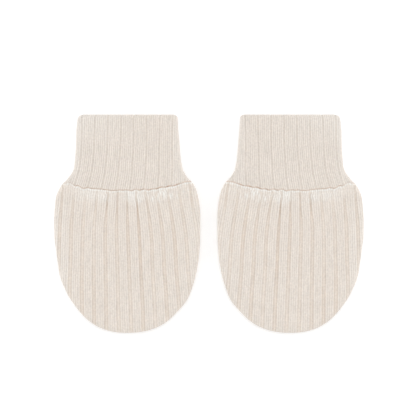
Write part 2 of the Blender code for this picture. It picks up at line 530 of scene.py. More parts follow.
FRONT_GROOVES = (
    Groove(-6, 0.8, 1.05, 1.15, 1.0),
    Groove(-5, 0.2, 0.8, 0.9, 0.95),
    Groove(-4, 0.3, 0.6, 0.75, 1.1),
    Groove(-3, 0.5, 1.0, 0.65, 1.1, 0.08 * MM),
    Groove(-2, 1.1, 1.8, 0.95, 0.95, 0.18 * MM),
    Groove(-1, 1.1, 1.5, 0.9, 0.75, 0.18 * MM, 9 * MM),
    Groove(0, 0.8, 1.5, 1.2, 0.75, 0.15 * MM, 11 * MM),
    Groove(1, 1.25, 2.3, 1.6, 1.1, 0.20 * MM, 26 * MM),
    Groove(2, 0.9, 1.3, 1.0, 0.7, 0.12 * MM, 11 * MM),
    Groove(3, 0.4, 1.0, 1.05, 1.05, 0.06 * MM),
    Groove(4, 0.4, 0.8, 1.2, 0.92, 0.06 * MM),
    Groove(5, 0.55, 0.9, 0.85, 0.8),
    Groove(6, 1.0, 1.2, 0.5, 0.6),
)
BACK_GROOVES = (
    Groove(-6, 0.6, 1.0, 1.0, 1.0),
    Groove(-5, 0.5, 1.2, 1.0, 1.0),
    Groove(-4, 1.1, 1.6, 1.4, 1.0, 0.12 * MM, 18 * MM),
    Groove(-3, 0.4, 1.1, 0.9, 1.0, 0.08 * MM),
    Groove(-2, 0.8, 1.4, 1.0, 1.1, 0.12 * MM),
    Groove(-1, 1.6, 2.0, 1.8, 1.2, 0.20 * MM, 22 * MM),
    Groove(0, 0.6, 1.3, 1.0, 0.9, 0.10 * MM),
    Groove(1, 0.9, 1.5, 1.1, 1.0, 0.12 * MM, 15 * MM),
    Groove(2, 1.4, 1.8, 1.5, 1.1, 0.18 * MM, 19 * MM),
    Groove(3, 0.5, 1.2, 1.0, 1.0, 0.08 * MM),
    Groove(4, 0.4, 0.9, 0.8, 1.0),
    Groove(5, 0.7, 1.1, 1.0, 0.9),
)


@dataclass(frozen=True)
class BodyRibs:
    """Where the ribs of a body panel run, counted in repeats from its middle groove."""

    grooves: tuple[Groove, ...]
    middle: float = 0.35 * MM  # the middle groove's place at the level where the pitch is plain
    level: float = -12.0 * MM
    slant: float = -0.038
    pitch: float = 6.32 * MM
    fan: float = 0.0105  # how much the pitch grows for each length down the panel
    draw: float = -0.013  # the same, up towards the shoulders
    top_shift: float = 0.5 * MM  # how far the seam pulls the outer ribs towards the other mitten
    top_shift_reach: tuple[float, float] = (6.0 * MM, 26.0 * MM)
    top_shift_side: tuple[float, float] = (18.0 * MM, 0.0)
    squeeze: float = 0.165  # how much the seam draws the middle grooves together
    squeeze_start: float = 3.0 * MM
    squeeze_reach: float = 14.5 * MM
    squeeze_width: float = 3.5
    bow: float = 0.75 * MM  # how far the inner ribs bow towards the other mitten on the upper body
    bow_level: float = -9.0 * MM
    bow_reach: float = 16.0 * MM
    bow_side: tuple[float, float] = (3.0 * MM, 14.0 * MM)
    wobble: float = 0.022
    wobble_noise: SoftNoise = SoftNoise(5, 34.0 * MM)
    crumple: float = 0.05  # unevenness of the wales beside the seam
    crumple_noise: SoftNoise = SoftNoise(27, 5.0 * MM)
    crumple_reach: tuple[float, float] = (2.0 * MM, 9.0 * MM)
    seam_fade: tuple[float, float] = (0.2 * MM, 1.2 * MM)  # where the grooves begin below the seam
    band_end: tuple[float, float] = (5.0 * MM, 8.6 * MM)  # where the seam allowance ends
    upper_from: tuple[float, float] = (9.0 * MM, 19.0 * MM)
    lower_from: tuple[float, float] = (30.0 * MM, 62.0 * MM)
    pinch: float = 0.62  # width of the grooves at the seam, as a share
    pinch_reach: tuple[float, float] = (8.0 * MM, 22.0 * MM)
    closing: float = 0.60  # how much a deep groove closes up
    closing_from: float = 1.2  # the strength from which it does
    gather_width: float = 0.16  # half the width of a gather's trough, in repeats
    gather_start: tuple[float, float] = (-1.0 * MM, 2.0 * MM)

    ROUNDS = 6  # of Newton's method, far more than the squeeze needs

    def across(self, x: np.ndarray, y: np.ndarray, below: np.ndarray) -> np.ndarray:
        """Place across the ribs, in repeats.

        Args:
            x: Places across the panel.
            y: Levels.
            below: Distances below the wrist seam.

        Returns:
            The repeats, whole numbers at the middle of a groove.
        """
        down = self.level - y
        near_top = 1.0 - ease(below, *self.top_shift_reach)
        drawn_over = self.top_shift * near_top * ease(x, *self.top_shift_side)
        bowed = self.bow * np.exp(-(((y - self.bow_level) / self.bow_reach) ** 2)) * ease(x, *self.bow_side)
        centre = self.middle - self.slant * down + drawn_over + bowed
        pitch = self.pitch + np.where(down > 0.0, self.fan, -self.draw) * down
        drawn = self.squeeze * np.exp(-np.maximum(below - self.squeeze_start, 0.0) / self.squeeze_reach)
        repeats = (x - centre) / pitch
        for _ in range(self.ROUNDS):
            bell = np.exp(-((repeats / self.squeeze_width) ** 2))
            error = centre + pitch * repeats * (1.0 - drawn * bell) - x
            slope = pitch * (1.0 - drawn * bell * (1.0 - 2.0 * (repeats / self.squeeze_width) ** 2))
            repeats = repeats - error / slope
        crumpled = self.crumple * self.crumple_noise.at(x, y) * (1.0 - ease(below, *self.crumple_reach))
        return repeats + self.wobble * self.wobble_noise.at(x, y) + crumpled

    def _of_nearest(self, repeats: np.ndarray, name: str) -> np.ndarray:
        """A value of the groove nearest to each place.

        Args:
            repeats: Places across the ribs.
            name: Which of a groove's values.

        Returns:
            The value at each place.
        """
        values = np.asarray([getattr(groove, name) for groove in self.grooves])
        nearest = np.round(repeats).astype(int) - self.grooves[0].number
        return values[np.clip(nearest, 0, len(values) - 1)]

    def depth_share(self, repeats: np.ndarray, below: np.ndarray) -> np.ndarray:
        """Strength of the groove nearest to each place.

        Args:
            repeats: Places across the ribs.
            below: Distances below the wrist seam.

        Returns:
            The strength, as a share of the usual.
        """
        band, start, upper, lower = (
            self._of_nearest(repeats, stretch) for stretch in ("band", "start", "upper", "lower")
        )
        share = band + (start - band) * ease(below, *self.band_end)
        share = share + (upper - start) * ease(below, *self.upper_from)
        share = share + (lower - upper) * ease(below, *self.lower_from)
        return share * ease(below, *self.seam_fade)

    def spread(self, below: np.ndarray, strength: np.ndarray) -> np.ndarray:
        """Width of the grooves, as a share of the usual: the seam pinches them, and deep ones close up."""
        pinched = self.pinch + (1.0 - self.pinch) * ease(below, *self.pinch_reach)
        return pinched / (1.0 + self.closing * np.maximum(strength - self.closing_from, 0.0))

    def gather(self, repeats: np.ndarray, below: np.ndarray) -> np.ndarray:
        """The gathers' soft troughs, which run down from the seam into the grooves.

        Args:
            repeats: Places across the ribs.
            below: Distances below the wrist seam.

        Returns:
            The troughs' depth at each place.
        """
        depth, reach = self._of_nearest(repeats, "gather"), self._of_nearest(repeats, "reach")
        trough = depth * np.exp(-(((repeats - np.round(repeats)) / self.gather_width) ** 2))
        return trough * (1.0 - ease(below, 0.0, reach)) * ease(below, *self.gather_start)


@dataclass(frozen=True)
class CuffRibs:
    """Where the ribs of the cuff run, counted in repeats from its middle groove."""

    fold_level: float
    seam_level: float
    middle: float = 3.5 * MM
    straight: float = 4.0 * MM  # how far below the fold they begin to slant and spread
    furthest: float = 1.2  # how far down they go on doing so, as a share of the cuff's length
    slant: float = 2.2 * MM  # how far the middle groove comes towards the outer side at the seam
    pitch: float = 7.1 * MM
    spread: float = 0.62 * MM
    wobble: float = 0.018
    wobble_noise: SoftNoise = SoftNoise(8, 22.0 * MM)

    def across(self, x: np.ndarray, y: np.ndarray) -> np.ndarray:
        """Place across the ribs, in repeats.

        Args:
            x: Places round the cuff.
            y: Levels.

        Returns:
            The repeats, whole numbers at the middle of a groove.
        """
        length = self.fold_level - self.seam_level
        down = np.clip((self.fold_level - self.straight - y) / length, 0.0, self.furthest)
        centre = self.middle - self.slant * down**2
        pitch = self.pitch + self.spread * down**3
        return (x - centre) / pitch + self.wobble * self.wobble_noise.at(x, y)


# --------------------------------------------------------------------------------------------------
# Meshes

MIDDLE_OF_RIB = 0.5  # the place across the ribs that a plain inner side carries


class Skin:
    """A mesh gathered from grids and strips of points, with values that its points carry."""

    # The paleness value is mostly painted highlight, and the seam value is painted shade in the wrist seam's
    # crease.
    VALUES = ("rib", "course", "groove_share", "groove_spread", "wale_share", "pale", "seam")

    def __init__(self) -> None:
        """Starts an empty skin."""
        self._points: list[np.ndarray] = []
        self._values: dict[str, list[np.ndarray]] = {name: [] for name in self.VALUES}
        self._quads: list[np.ndarray] = []
        self._triangles: list[tuple[int, int, int]] = []
        self._count = 0

    def add_points(self, points: np.ndarray, values: dict[str, np.ndarray] | None = None) -> np.ndarray:
        """Adds points.

        Args:
            points: The points, in an array of any shape by 3.
            values: What the points carry, by name. A name left out is 0.

        Returns:
            The points' numbers, in the array's shape.
        """
        shape = points.shape[:-1]
        count = int(np.prod(shape))
        for name in self.VALUES:
            given = (values or {}).get(name)
            filled = np.zeros(count) if given is None else np.broadcast_to(given, shape).reshape(-1)
            self._values[name].append(filled)
        self._points.append(points.reshape(-1, 3))
        numbers = np.arange(self._count, self._count + count).reshape(shape)
        self._count += count
        return numbers

    def add_quads(self, numbers: np.ndarray, closed: bool = False, flip: bool = False) -> None:
        """Faces over a grid of point numbers.

        Args:
            numbers: The grid.
            closed: Whether each row's end joins its start.
            flip: Whether the faces look the other way.
        """
        if closed:
            numbers = np.concatenate([numbers, numbers[:, :1]], 1)
        a, b = numbers[:-1, :-1], numbers[:-1, 1:]
        c, d = numbers[1:, 1:], numbers[1:, :-1]
        corners = (a, b, c, d) if flip else (a, d, c, b)
        self._quads.append(np.stack(corners, -1).reshape(-1, 4))

    def points_at(self, numbers: np.ndarray) -> np.ndarray:
        """The points that have these numbers."""
        return np.concatenate(self._points)[numbers]

    def zip_strips(self, first: np.ndarray, second: np.ndarray, flip: bool = False) -> None:
        """Triangles between two lines of points that run alongside each other.

        Args:
            first: Point numbers of one line.
            second: Point numbers of the other.
            flip: Whether the faces look the other way.
        """
        lines = [self.points_at(first), self.points_at(second)]
        gone = [np.concatenate([[0.0], np.cumsum(np.linalg.norm(np.diff(p, axis=0), axis=1))]) for p in lines]
        a, b = (lengths / lengths[-1] for lengths in gone)
        i = j = 0
        while i < len(first) - 1 or j < len(second) - 1:
            forward = j == len(second) - 1 or (i < len(first) - 1 and a[i + 1] <= b[j + 1])
            if forward:
                corner = (first[i], first[i + 1], second[j])
                i += 1
            else:
                corner = (first[i], second[j + 1], second[j])
                j += 1
            self._triangles.append(corner[::-1] if flip else corner)

    def make(self, name: str, hand: Hand, centre_x: float) -> bpy.types.Object:
        """Makes the mesh object.

        Args:
            name: The object's name.
            hand: Which mitten it is for. The right one is mirrored.
            centre_x: X of the left mitten's centre line.

        Returns:
            The object, at the origin, with its place in its mesh.
        """
        points = np.concatenate(self._points)
        points[:, 0] = hand.side * (points[:, 0] + centre_x)
        quads = np.concatenate(self._quads)
        triangles = np.asarray(self._triangles, int).reshape(-1, 3)
        if hand.side < 0:
            quads, triangles = quads[:, ::-1], triangles[:, ::-1]
        corners = np.concatenate([quads.reshape(-1), triangles.reshape(-1)])
        starts = np.concatenate([np.arange(len(quads)) * 4, len(quads) * 4 + np.arange(len(triangles)) * 3])
        mesh = bpy.data.meshes.new(name)
        mesh.vertices.add(len(points))
        mesh.vertices.foreach_set("co", points.astype(np.float32).reshape(-1))
        mesh.loops.add(len(corners))
        mesh.loops.foreach_set("vertex_index", corners.astype(np.int32))
        mesh.polygons.add(len(starts))
        mesh.polygons.foreach_set("loop_start", starts.astype(np.int32))
        mesh.update(calc_edges=True)
        for value_name, parts in self._values.items():
            layer = mesh.attributes.new(value_name, "FLOAT", "POINT")
            layer.data.foreach_set("value", np.concatenate(parts).astype(np.float32))
        mesh.validate()
        mesh.shade_smooth()
        made = bpy.data.objects.new(name, mesh)
        bpy.context.scene.collection.objects.link(made)
        return made


@dataclass(frozen=True)
class PanelForm:
    """How a body panel's outer skin stands up from its rim, as distances outwards."""

    rim_level: float  # height of the skin's widest line above the table
    seam_level: float  # height of the seam between the two panels
    rounding: float  # how far in the rim rounds over
    crown: float  # how far the middle stands out from the rim
    tip_crown: float  # the same near the tip
    lift: float  # how much the seam allowance inside lifts the skin
    crease: float  # how deep the skin dives at the wrist seam
    crease_reach: float
    pucker: float  # height of the small bulges between the seam's stitches
    softness: float  # height of the broad unevenness
    crumple: float = 0.0  # height of the small, uneven lumps over the wrist seam's allowance
    corner_rise: float = 0.0  # how much higher its rim is where it meets the cuff
    corner_reach: float = 7.0 * MM


FRONT_FORM = PanelForm(
    rim_level=3.0 * MM,
    seam_level=2.33 * MM,
    rounding=3.2 * MM,
    crown=1.8 * MM,
    tip_crown=1.35 * MM,
    lift=0.85 * MM,
    crease=0.34 * MM,
    crease_reach=0.45 * MM,
    pucker=0.22 * MM,
    softness=0.10 * MM,
    crumple=0.09 * MM,
)
BACK_FORM = PanelForm(
    rim_level=1.6 * MM,
    seam_level=2.27 * MM,
    rounding=3.0 * MM,
    crown=1.6 * MM,
    tip_crown=1.6 * MM,
    lift=0.0,
    crease=0.5 * MM,
    crease_reach=0.7 * MM,
    pucker=0.0,
    softness=0.0,
    corner_rise=0.6 * MM,
)


@dataclass(frozen=True)
class Puckers:
    """The bulges of the cloth between the wrist seam's stitches, uneven in place, width and height."""

    seed: int = 3
    pitch: float = 2.2 * MM
    pitches: tuple[float, float] = (0.65, 1.4)  # least and most, as shares of the pitch
    widths: tuple[float, float] = (0.26, 0.40)  # the same
    heights: tuple[float, float] = (0.45, 1.0)  # the same, as shares of the highest
    margin: float = 1.05  # how far out from the middle they go, in half widths of the panel
    samples: int = 1600
    at_seam: float = 0.35  # their height right at the seam, as a share
    highest_at: float = 0.5 * MM  # distance below the seam at which they are highest
    reach: float = 1.9 * MM  # distance at which they run out

    def at(self, x: np.ndarray, below: np.ndarray, half_width: float) -> np.ndarray:
        """The bulges over a panel.

        Args:
            x: Places across.
            below: Distances below the wrist seam.
            half_width: Half the panel's width.

        Returns:
            Their height at each place, as a share of the highest.
        """
        rng = np.random.default_rng(self.seed)
        line = np.linspace(-self.margin, self.margin, self.samples) * half_width
        height = np.zeros_like(line)
        place = line[0]
        while place < line[-1]:
            place += self.pitch * rng.uniform(*self.pitches)
            width = self.pitch * rng.uniform(*self.widths)
            height = np.maximum(height, rng.uniform(*self.heights) * np.exp(-(((line - place) / width) ** 2)))
        rising = self.at_seam + (1.0 - self.at_seam) * ease(below, 0.0, self.highest_at)
        return np.interp(x, line, height) * rising * (1.0 - ease(below, self.highest_at, self.reach))


@dataclass(frozen=True)
class SeamAllowance:
    """The wrist seam's allowance inside the body, which lifts the cloth over it and crumples it."""

    reach: float = 7.2 * MM
    waver: float = 0.9 * MM
    waver_noise: SoftNoise = SoftNoise(14, 15.0 * MM)
    rise: tuple[float, float] = (0.3 * MM, 2.8 * MM)  # where the cloth climbs onto it below the seam
    loose_rise: float = 0.6  # how far the cloth stays up at the seam itself where that is loose
    run_out: tuple[float, float] = (-3.4 * MM, 5.0 * MM)  # where the cloth comes down, beside its edge
    lump_noise: SoftNoise = SoftNoise(23, 2.3 * MM)
    lump_stretch: float = 0.6  # the lumps' width, as a share of their length
    lump_start: tuple[float, float] = (0.3 * MM, 1.4 * MM)
    lump_end: tuple[float, float] = (4.0 * MM, 8.5 * MM)
    lump_side: tuple[float, float] = (-22.0 * MM, 18.0 * MM)  # they grow towards the other mitten

    def lift_at(self, x: np.ndarray, below: np.ndarray, loose: np.ndarray) -> np.ndarray:
        """How far the allowance lifts the cloth.

        Args:
            x: Places across.
            below: Distances below the wrist seam.
            loose: How loose the seam is at each place.

        Returns:
            The lift, as a share of the highest.
        """
        hem = self.reach + self.waver * self.waver_noise.along(x)
        risen = np.maximum(ease(below, *self.rise), self.loose_rise * loose)
        return risen * (1.0 - ease(below - hem, *self.run_out))

    def lumps_at(self, x: np.ndarray, y: np.ndarray, below: np.ndarray) -> np.ndarray:
        """The small lumps of the cloth over the allowance.

        Args:
            x: Places across.
            y: Levels.
            below: Distances below the wrist seam.

        Returns:
            Their height, between about -1 and 1.
        """
        lumps = self.lump_noise.at(x, self.lump_stretch * y) * ease(below, *self.lump_start)
        return lumps * (1.0 - ease(below, *self.lump_end)) * ease(x, *self.lump_side)


@dataclass(frozen=True)
class HighlightBand:
    """A painted highlight: the paler band of cloth that the wrist seam's allowance backs and lifts into the
    light, in soft patches.
    """

    lit_patch_strength: float = 1.45
    patch_waver: float = 0.25
    patch_noise: SoftNoise = SoftNoise(17, 6.0 * MM)
    # painted light and shade in flecks over the allowance's small lumps
    lump_shading: float = 1.1
    lump_shading_noise: SoftNoise = SoftNoise(31, 2.3 * MM)
    lump_shading_stretch: float = 0.6  # the flecks' width, as a share of their length
    lump_shading_side: tuple[float, float] = (6.0 * MM, 15.0 * MM)
    reach: float = 7.0 * MM
    waver: float = 0.8 * MM
    waver_noise: SoftNoise = SoftNoise(18, 9.0 * MM)
    run_out: tuple[float, float] = (-2.0 * MM, 1.8 * MM)
    fold: float = 2.5  # painted highlight of the cloth that turns in to the seam
    fold_inner: float = 0.7  # how much paler that is on the inner side
    fold_side: tuple[float, float] = (14.0 * MM, 22.0 * MM)
    fold_waver: float = 1.2
    fold_noise: SoftNoise = SoftNoise(29, 2.8 * MM)
    fold_reach: tuple[float, float] = (0.8 * MM, 1.6 * MM)
    palest: float = 3.2
    seam_fade: tuple[float, float] = (0.2 * MM, 0.5 * MM)

    LIT_PATCHES = (
        (-22.0 * MM, 6.0 * MM, 0.95),
        (-12.5 * MM, 4.0 * MM, 1.05),
        (1.8 * MM, 3.6 * MM, 1.70),
        (7.5 * MM, 3.0 * MM, 0.95),
        (19.0 * MM, 6.5 * MM, 0.95),
    )  # place, width and strength of the painted highlight's patches

    def at(self, x: np.ndarray, below: np.ndarray) -> np.ndarray:
        """How much paler the painted highlight makes the cloth.

        Args:
            x: Places across.
            below: Distances below the wrist seam.

        Returns:
            The paleness at each place.
        """
        patches = sum(share * np.exp(-(((x - place) / width) ** 2)) for place, width, share in self.LIT_PATCHES)
        patches = patches * (1.0 + self.patch_waver * self.patch_noise.at(x, below))
        # painted light and shade over the small lumps
        shading_flecks = self.lump_shading_noise.at(x, self.lump_shading_stretch * below)
        lump_shaded = self.lump_shading * shading_flecks * ease(x, *self.lump_shading_side)
        edge = self.reach + self.waver * self.waver_noise.along(x)
        hem = 1.0 - ease(below - edge, *self.run_out)
        # painted highlight along the fold that turns in to the seam
        turned_in = self.fold + self.fold_inner * ease(x, *self.fold_side)
        turned_in = turned_in + self.fold_waver * self.fold_noise.along(x)
        fold = (1.0 - ease(below, *self.fold_reach)) * turned_in
        paleness = np.clip(hem * (self.lit_patch_strength * patches + lump_shaded) + fold, 0.0, self.palest)
        return paleness * ease(below, *self.seam_fade)


@dataclass
class BodyPanel:
    """A body panel: one layer of rib knit, gathered at the wrist and sewn to its fellow round the rim."""

    hand: Hand
    face: Face
    centre_x: float
    outline: BodyOutline
    seam: WristSeam
    ribs: BodyRibs
    form: PanelForm
    column_pitch: float
    row_pitch: float
    puckers: Puckers = Puckers()
    allowance: SeamAllowance = SeamAllowance()
    pale_band: HighlightBand = HighlightBand()
    side_grading: tuple[float, float] = (3.0 * MM, 0.06 * MM)  # how far in the mesh is closer, and its pitch
    seam_grading: tuple[float, float] = (5.0 * MM, 0.06 * MM)
    tip_grading: tuple[float, float] = (3.0 * MM, 0.05 * MM)
    crown_change: tuple[float, float] = (15.0 * MM, 80.0 * MM)  # where the crown turns into the tip's
    soft_noise: SoftNoise = SoftNoise(21, 26.0 * MM)
    soft_from: float = 10.0 * MM
    rim_plain: float = 0.9 * MM  # how far inside the rim the ribs reach their full depth
    wales_from: float = 0.5 * MM  # the same for the wales, below the seam
    thickness: float = 1.1 * MM
    lining_columns: int = 60
    lining_rows: int = 44
    lining_edge: float = 3.0 * MM  # how far from the rim the inner side is drawn in
    lining_start: float = 0.8 * MM  # how high on the rim's rounding it begins, as a distance inside
    lining_top: float = 1.0 * MM  # how far below the seam it is drawn down
    lining_drop: float = 0.3 * MM
    curl: float = 0.6 * MM  # how far the rim tucks in at the side seam
    curl_angle: float = 78.0  # how far round it turns there, in degrees
    curl_steps: int = 5
    rim_highlight: tuple[float, float] = (0.62, 0.35)  # how much the painted highlight lightens the outer and inner side rims
    rim_highlight_edge: tuple[float, float] = (5.0 * MM, 8.5 * MM)
    rim_highlight_tip: tuple[float, float] = (12.0 * MM, 34.0 * MM)  # where that begins, above the tip
    rim_highlight_top: tuple[float, float] = (16.0 * MM, 6.0 * MM)  # the levels between which it ends
    lower_paleness: float = 0.04  # of the cloth from the middle of the body down
    lower_from: tuple[float, float] = (16.0 * MM, 30.0 * MM)
    crease_shade_reach: tuple[float, float] = (0.05 * MM, 0.45 * MM)  # how far from the seam its painted crease shade shows

    @property
    def node(self) -> str:
        """The node that the panel stands for."""
        return f"{self.hand.word}_{self.face.word}"

    def _plan(self, s: np.ndarray, t: np.ndarray) -> np.ndarray:
        """The panel seen from above.

        Args:
            s: Shares across, from -1 at the outer side to 1 at the inner one.
            t: Shares along, from 0 at the seam to 1 at the tip.

        Returns:
            Points, one row for each t and one column for each s.
        """
        sides = []
        for side in (OUTER, INNER):
            top = self.seam.level_at_end(side)
            level = top + (self.outline.hand_over - top) * t
            sides.append(np.stack([self.outline.side_at(side, level), level], -1))
        seam = self.seam.point(s)
        tip = self.outline.tip_arc(s * self.outline.half_at(self.outline.hand_over))
        points = coons(seam, tip, *sides, (seam[[0, -1]], tip[[0, -1]]), s, t)
        points[..., 0] += self.outline.lean_at(points[..., 1])
        return points

    def _inset(self, x: np.ndarray, y: np.ndarray) -> tuple[np.ndarray, np.ndarray]:
        """How far inside the outline a grid's points are.

        Args:
            x: Places across.
            y: Levels.

        Returns:
            The distances, which are nothing on the grid's sides and its last row, and the outward directions.
        """
        inset, outward = self.outline.edge(x, y)
        inset[:, [0, -1]] = 0.0
        inset[-1] = 0.0
        return inset, outward

    def _below(self, x: np.ndarray, y: np.ndarray) -> np.ndarray:
        """Distances below the wrist seam."""
        return np.maximum(0.0, self.seam.level_at(x) - y)

    def _rim_at(self, below: np.ndarray) -> np.ndarray:
        """Height of the rim above the table, by the distance below the wrist seam."""
        return self.form.rim_level + self.form.corner_rise * (1.0 - ease(below, 0.0, self.form.corner_reach))

    def _stand(
        self, x: np.ndarray, y: np.ndarray, inset: np.ndarray
    ) -> tuple[np.ndarray, np.ndarray, np.ndarray]:
        """How far the outer skin stands out from the rim.

        Args:
            x: Places across.
            y: Levels.
            inset: Distances inside the outline.

        Returns:
            The distance outwards, the distance below the wrist seam, and the place across the ribs.
        """
        form = self.form
        below = self._below(x, y)
        repeats = self.ribs.across(x, y, below)
        crown = form.tip_crown + (form.crown - form.tip_crown) * (1.0 - ease(below, *self.crown_change))
        crown = crown - self.face.up * (self._rim_at(below) - form.rim_level)
        crown = crown + form.lift * self.allowance.lift_at(x, below, self.seam.loose_at(x))
        crown = crown - form.crease * self.seam.pull_at(x) * (1.0 - quarter_round(below, form.crease_reach))
        crown = crown + form.pucker * self.puckers.at(x, below, self.outline.half_width)
        crown = crown - self.ribs.gather(repeats, below)
        crown = crown + form.softness * self.soft_noise.at(x, y) * ease(below, 0.0, self.soft_from)
        crown = crown + form.crumple * self.allowance.lumps_at(x, y, below)
        return crown * quarter_round(inset, form.rounding), below, repeats

    def _rim_highlight(self, x: np.ndarray, y: np.ndarray, inset: np.ndarray) -> np.ndarray:
        """The painted highlight along the side rims, over the side seams' allowance.

        Args:
            x: Places across.
            y: Levels.
            inset: Distances inside the outline.

        Returns:
            The paleness at each place.
        """
        sides = ease(y - self.outline.tip, *self.rim_highlight_tip) * ease(y, *self.rim_highlight_top)
        return np.where(x < 0.0, *self.rim_highlight) * sides * (1.0 - ease(inset, *self.rim_highlight_edge))

    def _outer(self, skin: Skin) -> np.ndarray:
        """Adds the outer skin.

        Args:
            skin: What it is added to.

        Returns:
            Its grid of point numbers.
        """
        width = 2.0 * self.outline.half_width
        s = 2.0 * graded(width, self.column_pitch, self.side_grading, self.side_grading) / width - 1.0
        length = self.seam.inner_level - self.outline.tip
        t = graded(length, self.row_pitch, self.seam_grading, self.tip_grading) / length
        x, y = np.moveaxis(self._plan(s, t), -1, 0)
        inset, _ = self._inset(x, y)
        stand, below, repeats = self._stand(x, y, inset)
        y = y + self.seam.wave_at(x, below) - self.seam.parting_at(below)
        z = self._rim_at(below) + self.face.up * stand
        inside = ease(inset, 0.0, self.rim_plain)
        strength = self.ribs.depth_share(repeats, below)
        # painted highlight over the wrist seam's allowance and along the side rims
        pale = self.pale_band.at(x, below) + self._rim_highlight(x, y, inset)
        values = {
            "rib": repeats,
            "course": -y,
            "groove_share": strength * inside,
            "groove_spread": self.ribs.spread(below, strength),
            "wale_share": inside * ease(below, 0.0, self.wales_from),
            "pale": pale + self.lower_paleness * ease(below, *self.lower_from),
            # painted shade in the wrist seam's crease
            "seam": self.seam.crease_shade_at(x) * (1.0 - ease(below, *self.crease_shade_reach)),
        }
        numbers = skin.add_points(np.stack([x, y, z], -1), values)
        skin.add_quads(numbers, flip=self.face.up < 0)
        return numbers

    def _curl(self, skin: Skin, outer: np.ndarray) -> np.ndarray:
        """Tucks the rim in towards the side seam.

        Args:
            skin: What the tucked-in cloth is added to.
            outer: The outer skin's grid of point numbers.

        Returns:
            Point numbers, one row for each ring inwards from the rim.
        """
        rim = np.concatenate([outer[:, 0], outer[-1, 1:-1], outer[::-1, -1]])
        start = skin.points_at(rim)
        _, outward = self.outline.edge(start[:, 0], start[:, 1])
        rings = [rim]
        whole_turn = math.radians(self.curl_angle)
        for step in range(1, self.curl_steps + 1):
            angle = whole_turn * step / self.curl_steps
            ring = start.copy()
            ring[:, :2] -= outward * self.curl * (1.0 - math.cos(angle))
            share = math.sin(angle) / math.sin(whole_turn)
            ring[:, 2] += (self.form.seam_level - start[:, 2]) * share
            x, y = ring[:, 0], ring[:, 1]
            repeats = self.ribs.across(x, y, self._below(x, y))
            rings.append(skin.add_points(ring, {"rib": repeats, "course": -y}))
        numbers = np.stack(rings)
        skin.add_quads(numbers, flip=self.face.up < 0)
        return numbers

    def _lining(self, skin: Skin) -> np.ndarray:
        """Adds the cloth's inner side, which is coarse.

        Args:
            skin: What it is added to.

        Returns:
            Its grid of point numbers.
        """
        s = np.linspace(-1.0, 1.0, self.lining_columns)
        t = np.linspace(0.0, 1.0, self.lining_rows)
        x, y = np.moveaxis(self._plan(s, t), -1, 0)
        inset, outward = self._inset(x, y)
        edge = 1.0 - ease(inset, 0.0, self.lining_edge)
        stand, below, _ = self._stand(x, y, inset + self.lining_start)
        drawn_in = outward * (self.thickness * edge)[..., None]
        inner = self._rim_at(below) + self.face.up * (stand - self.thickness)
        level = self.form.seam_level
        z = np.maximum(inner, level) if self.face.up > 0 else np.minimum(inner, level)
        top = 1.0 - ease(below, 0.0, self.lining_top)
        lower = y - drawn_in[..., 1] * (1.0 - top) - self.lining_drop * top
        points = np.stack([x - drawn_in[..., 0], lower, z], -1)
        numbers = skin.add_points(points, {"rib": MIDDLE_OF_RIB, "course": -y})
        skin.add_quads(numbers, flip=self.face.up > 0)
        return numbers

    def build(self) -> bpy.types.Object:
        """Makes the panel as one closed skin, without its ribs.

        Returns:
            The panel's object.
        """
        skin = Skin()
        outer = self._outer(skin)
        rings = self._curl(skin, outer)
        lining = self._lining(skin)
        flip = self.face.up > 0
        wrist = np.concatenate([rings[::-1, 0], outer[0, 1:-1], rings[:, -1]])
        skin.zip_strips(wrist, lining[0], flip=not flip)
        around = np.concatenate([lining[:, 0], lining[-1, 1:-1], lining[::-1, -1]])
        skin.zip_strips(rings[-1], around, flip=flip)
        return skin.make(f"{self.node}_knit", self.hand, self.centre_x)


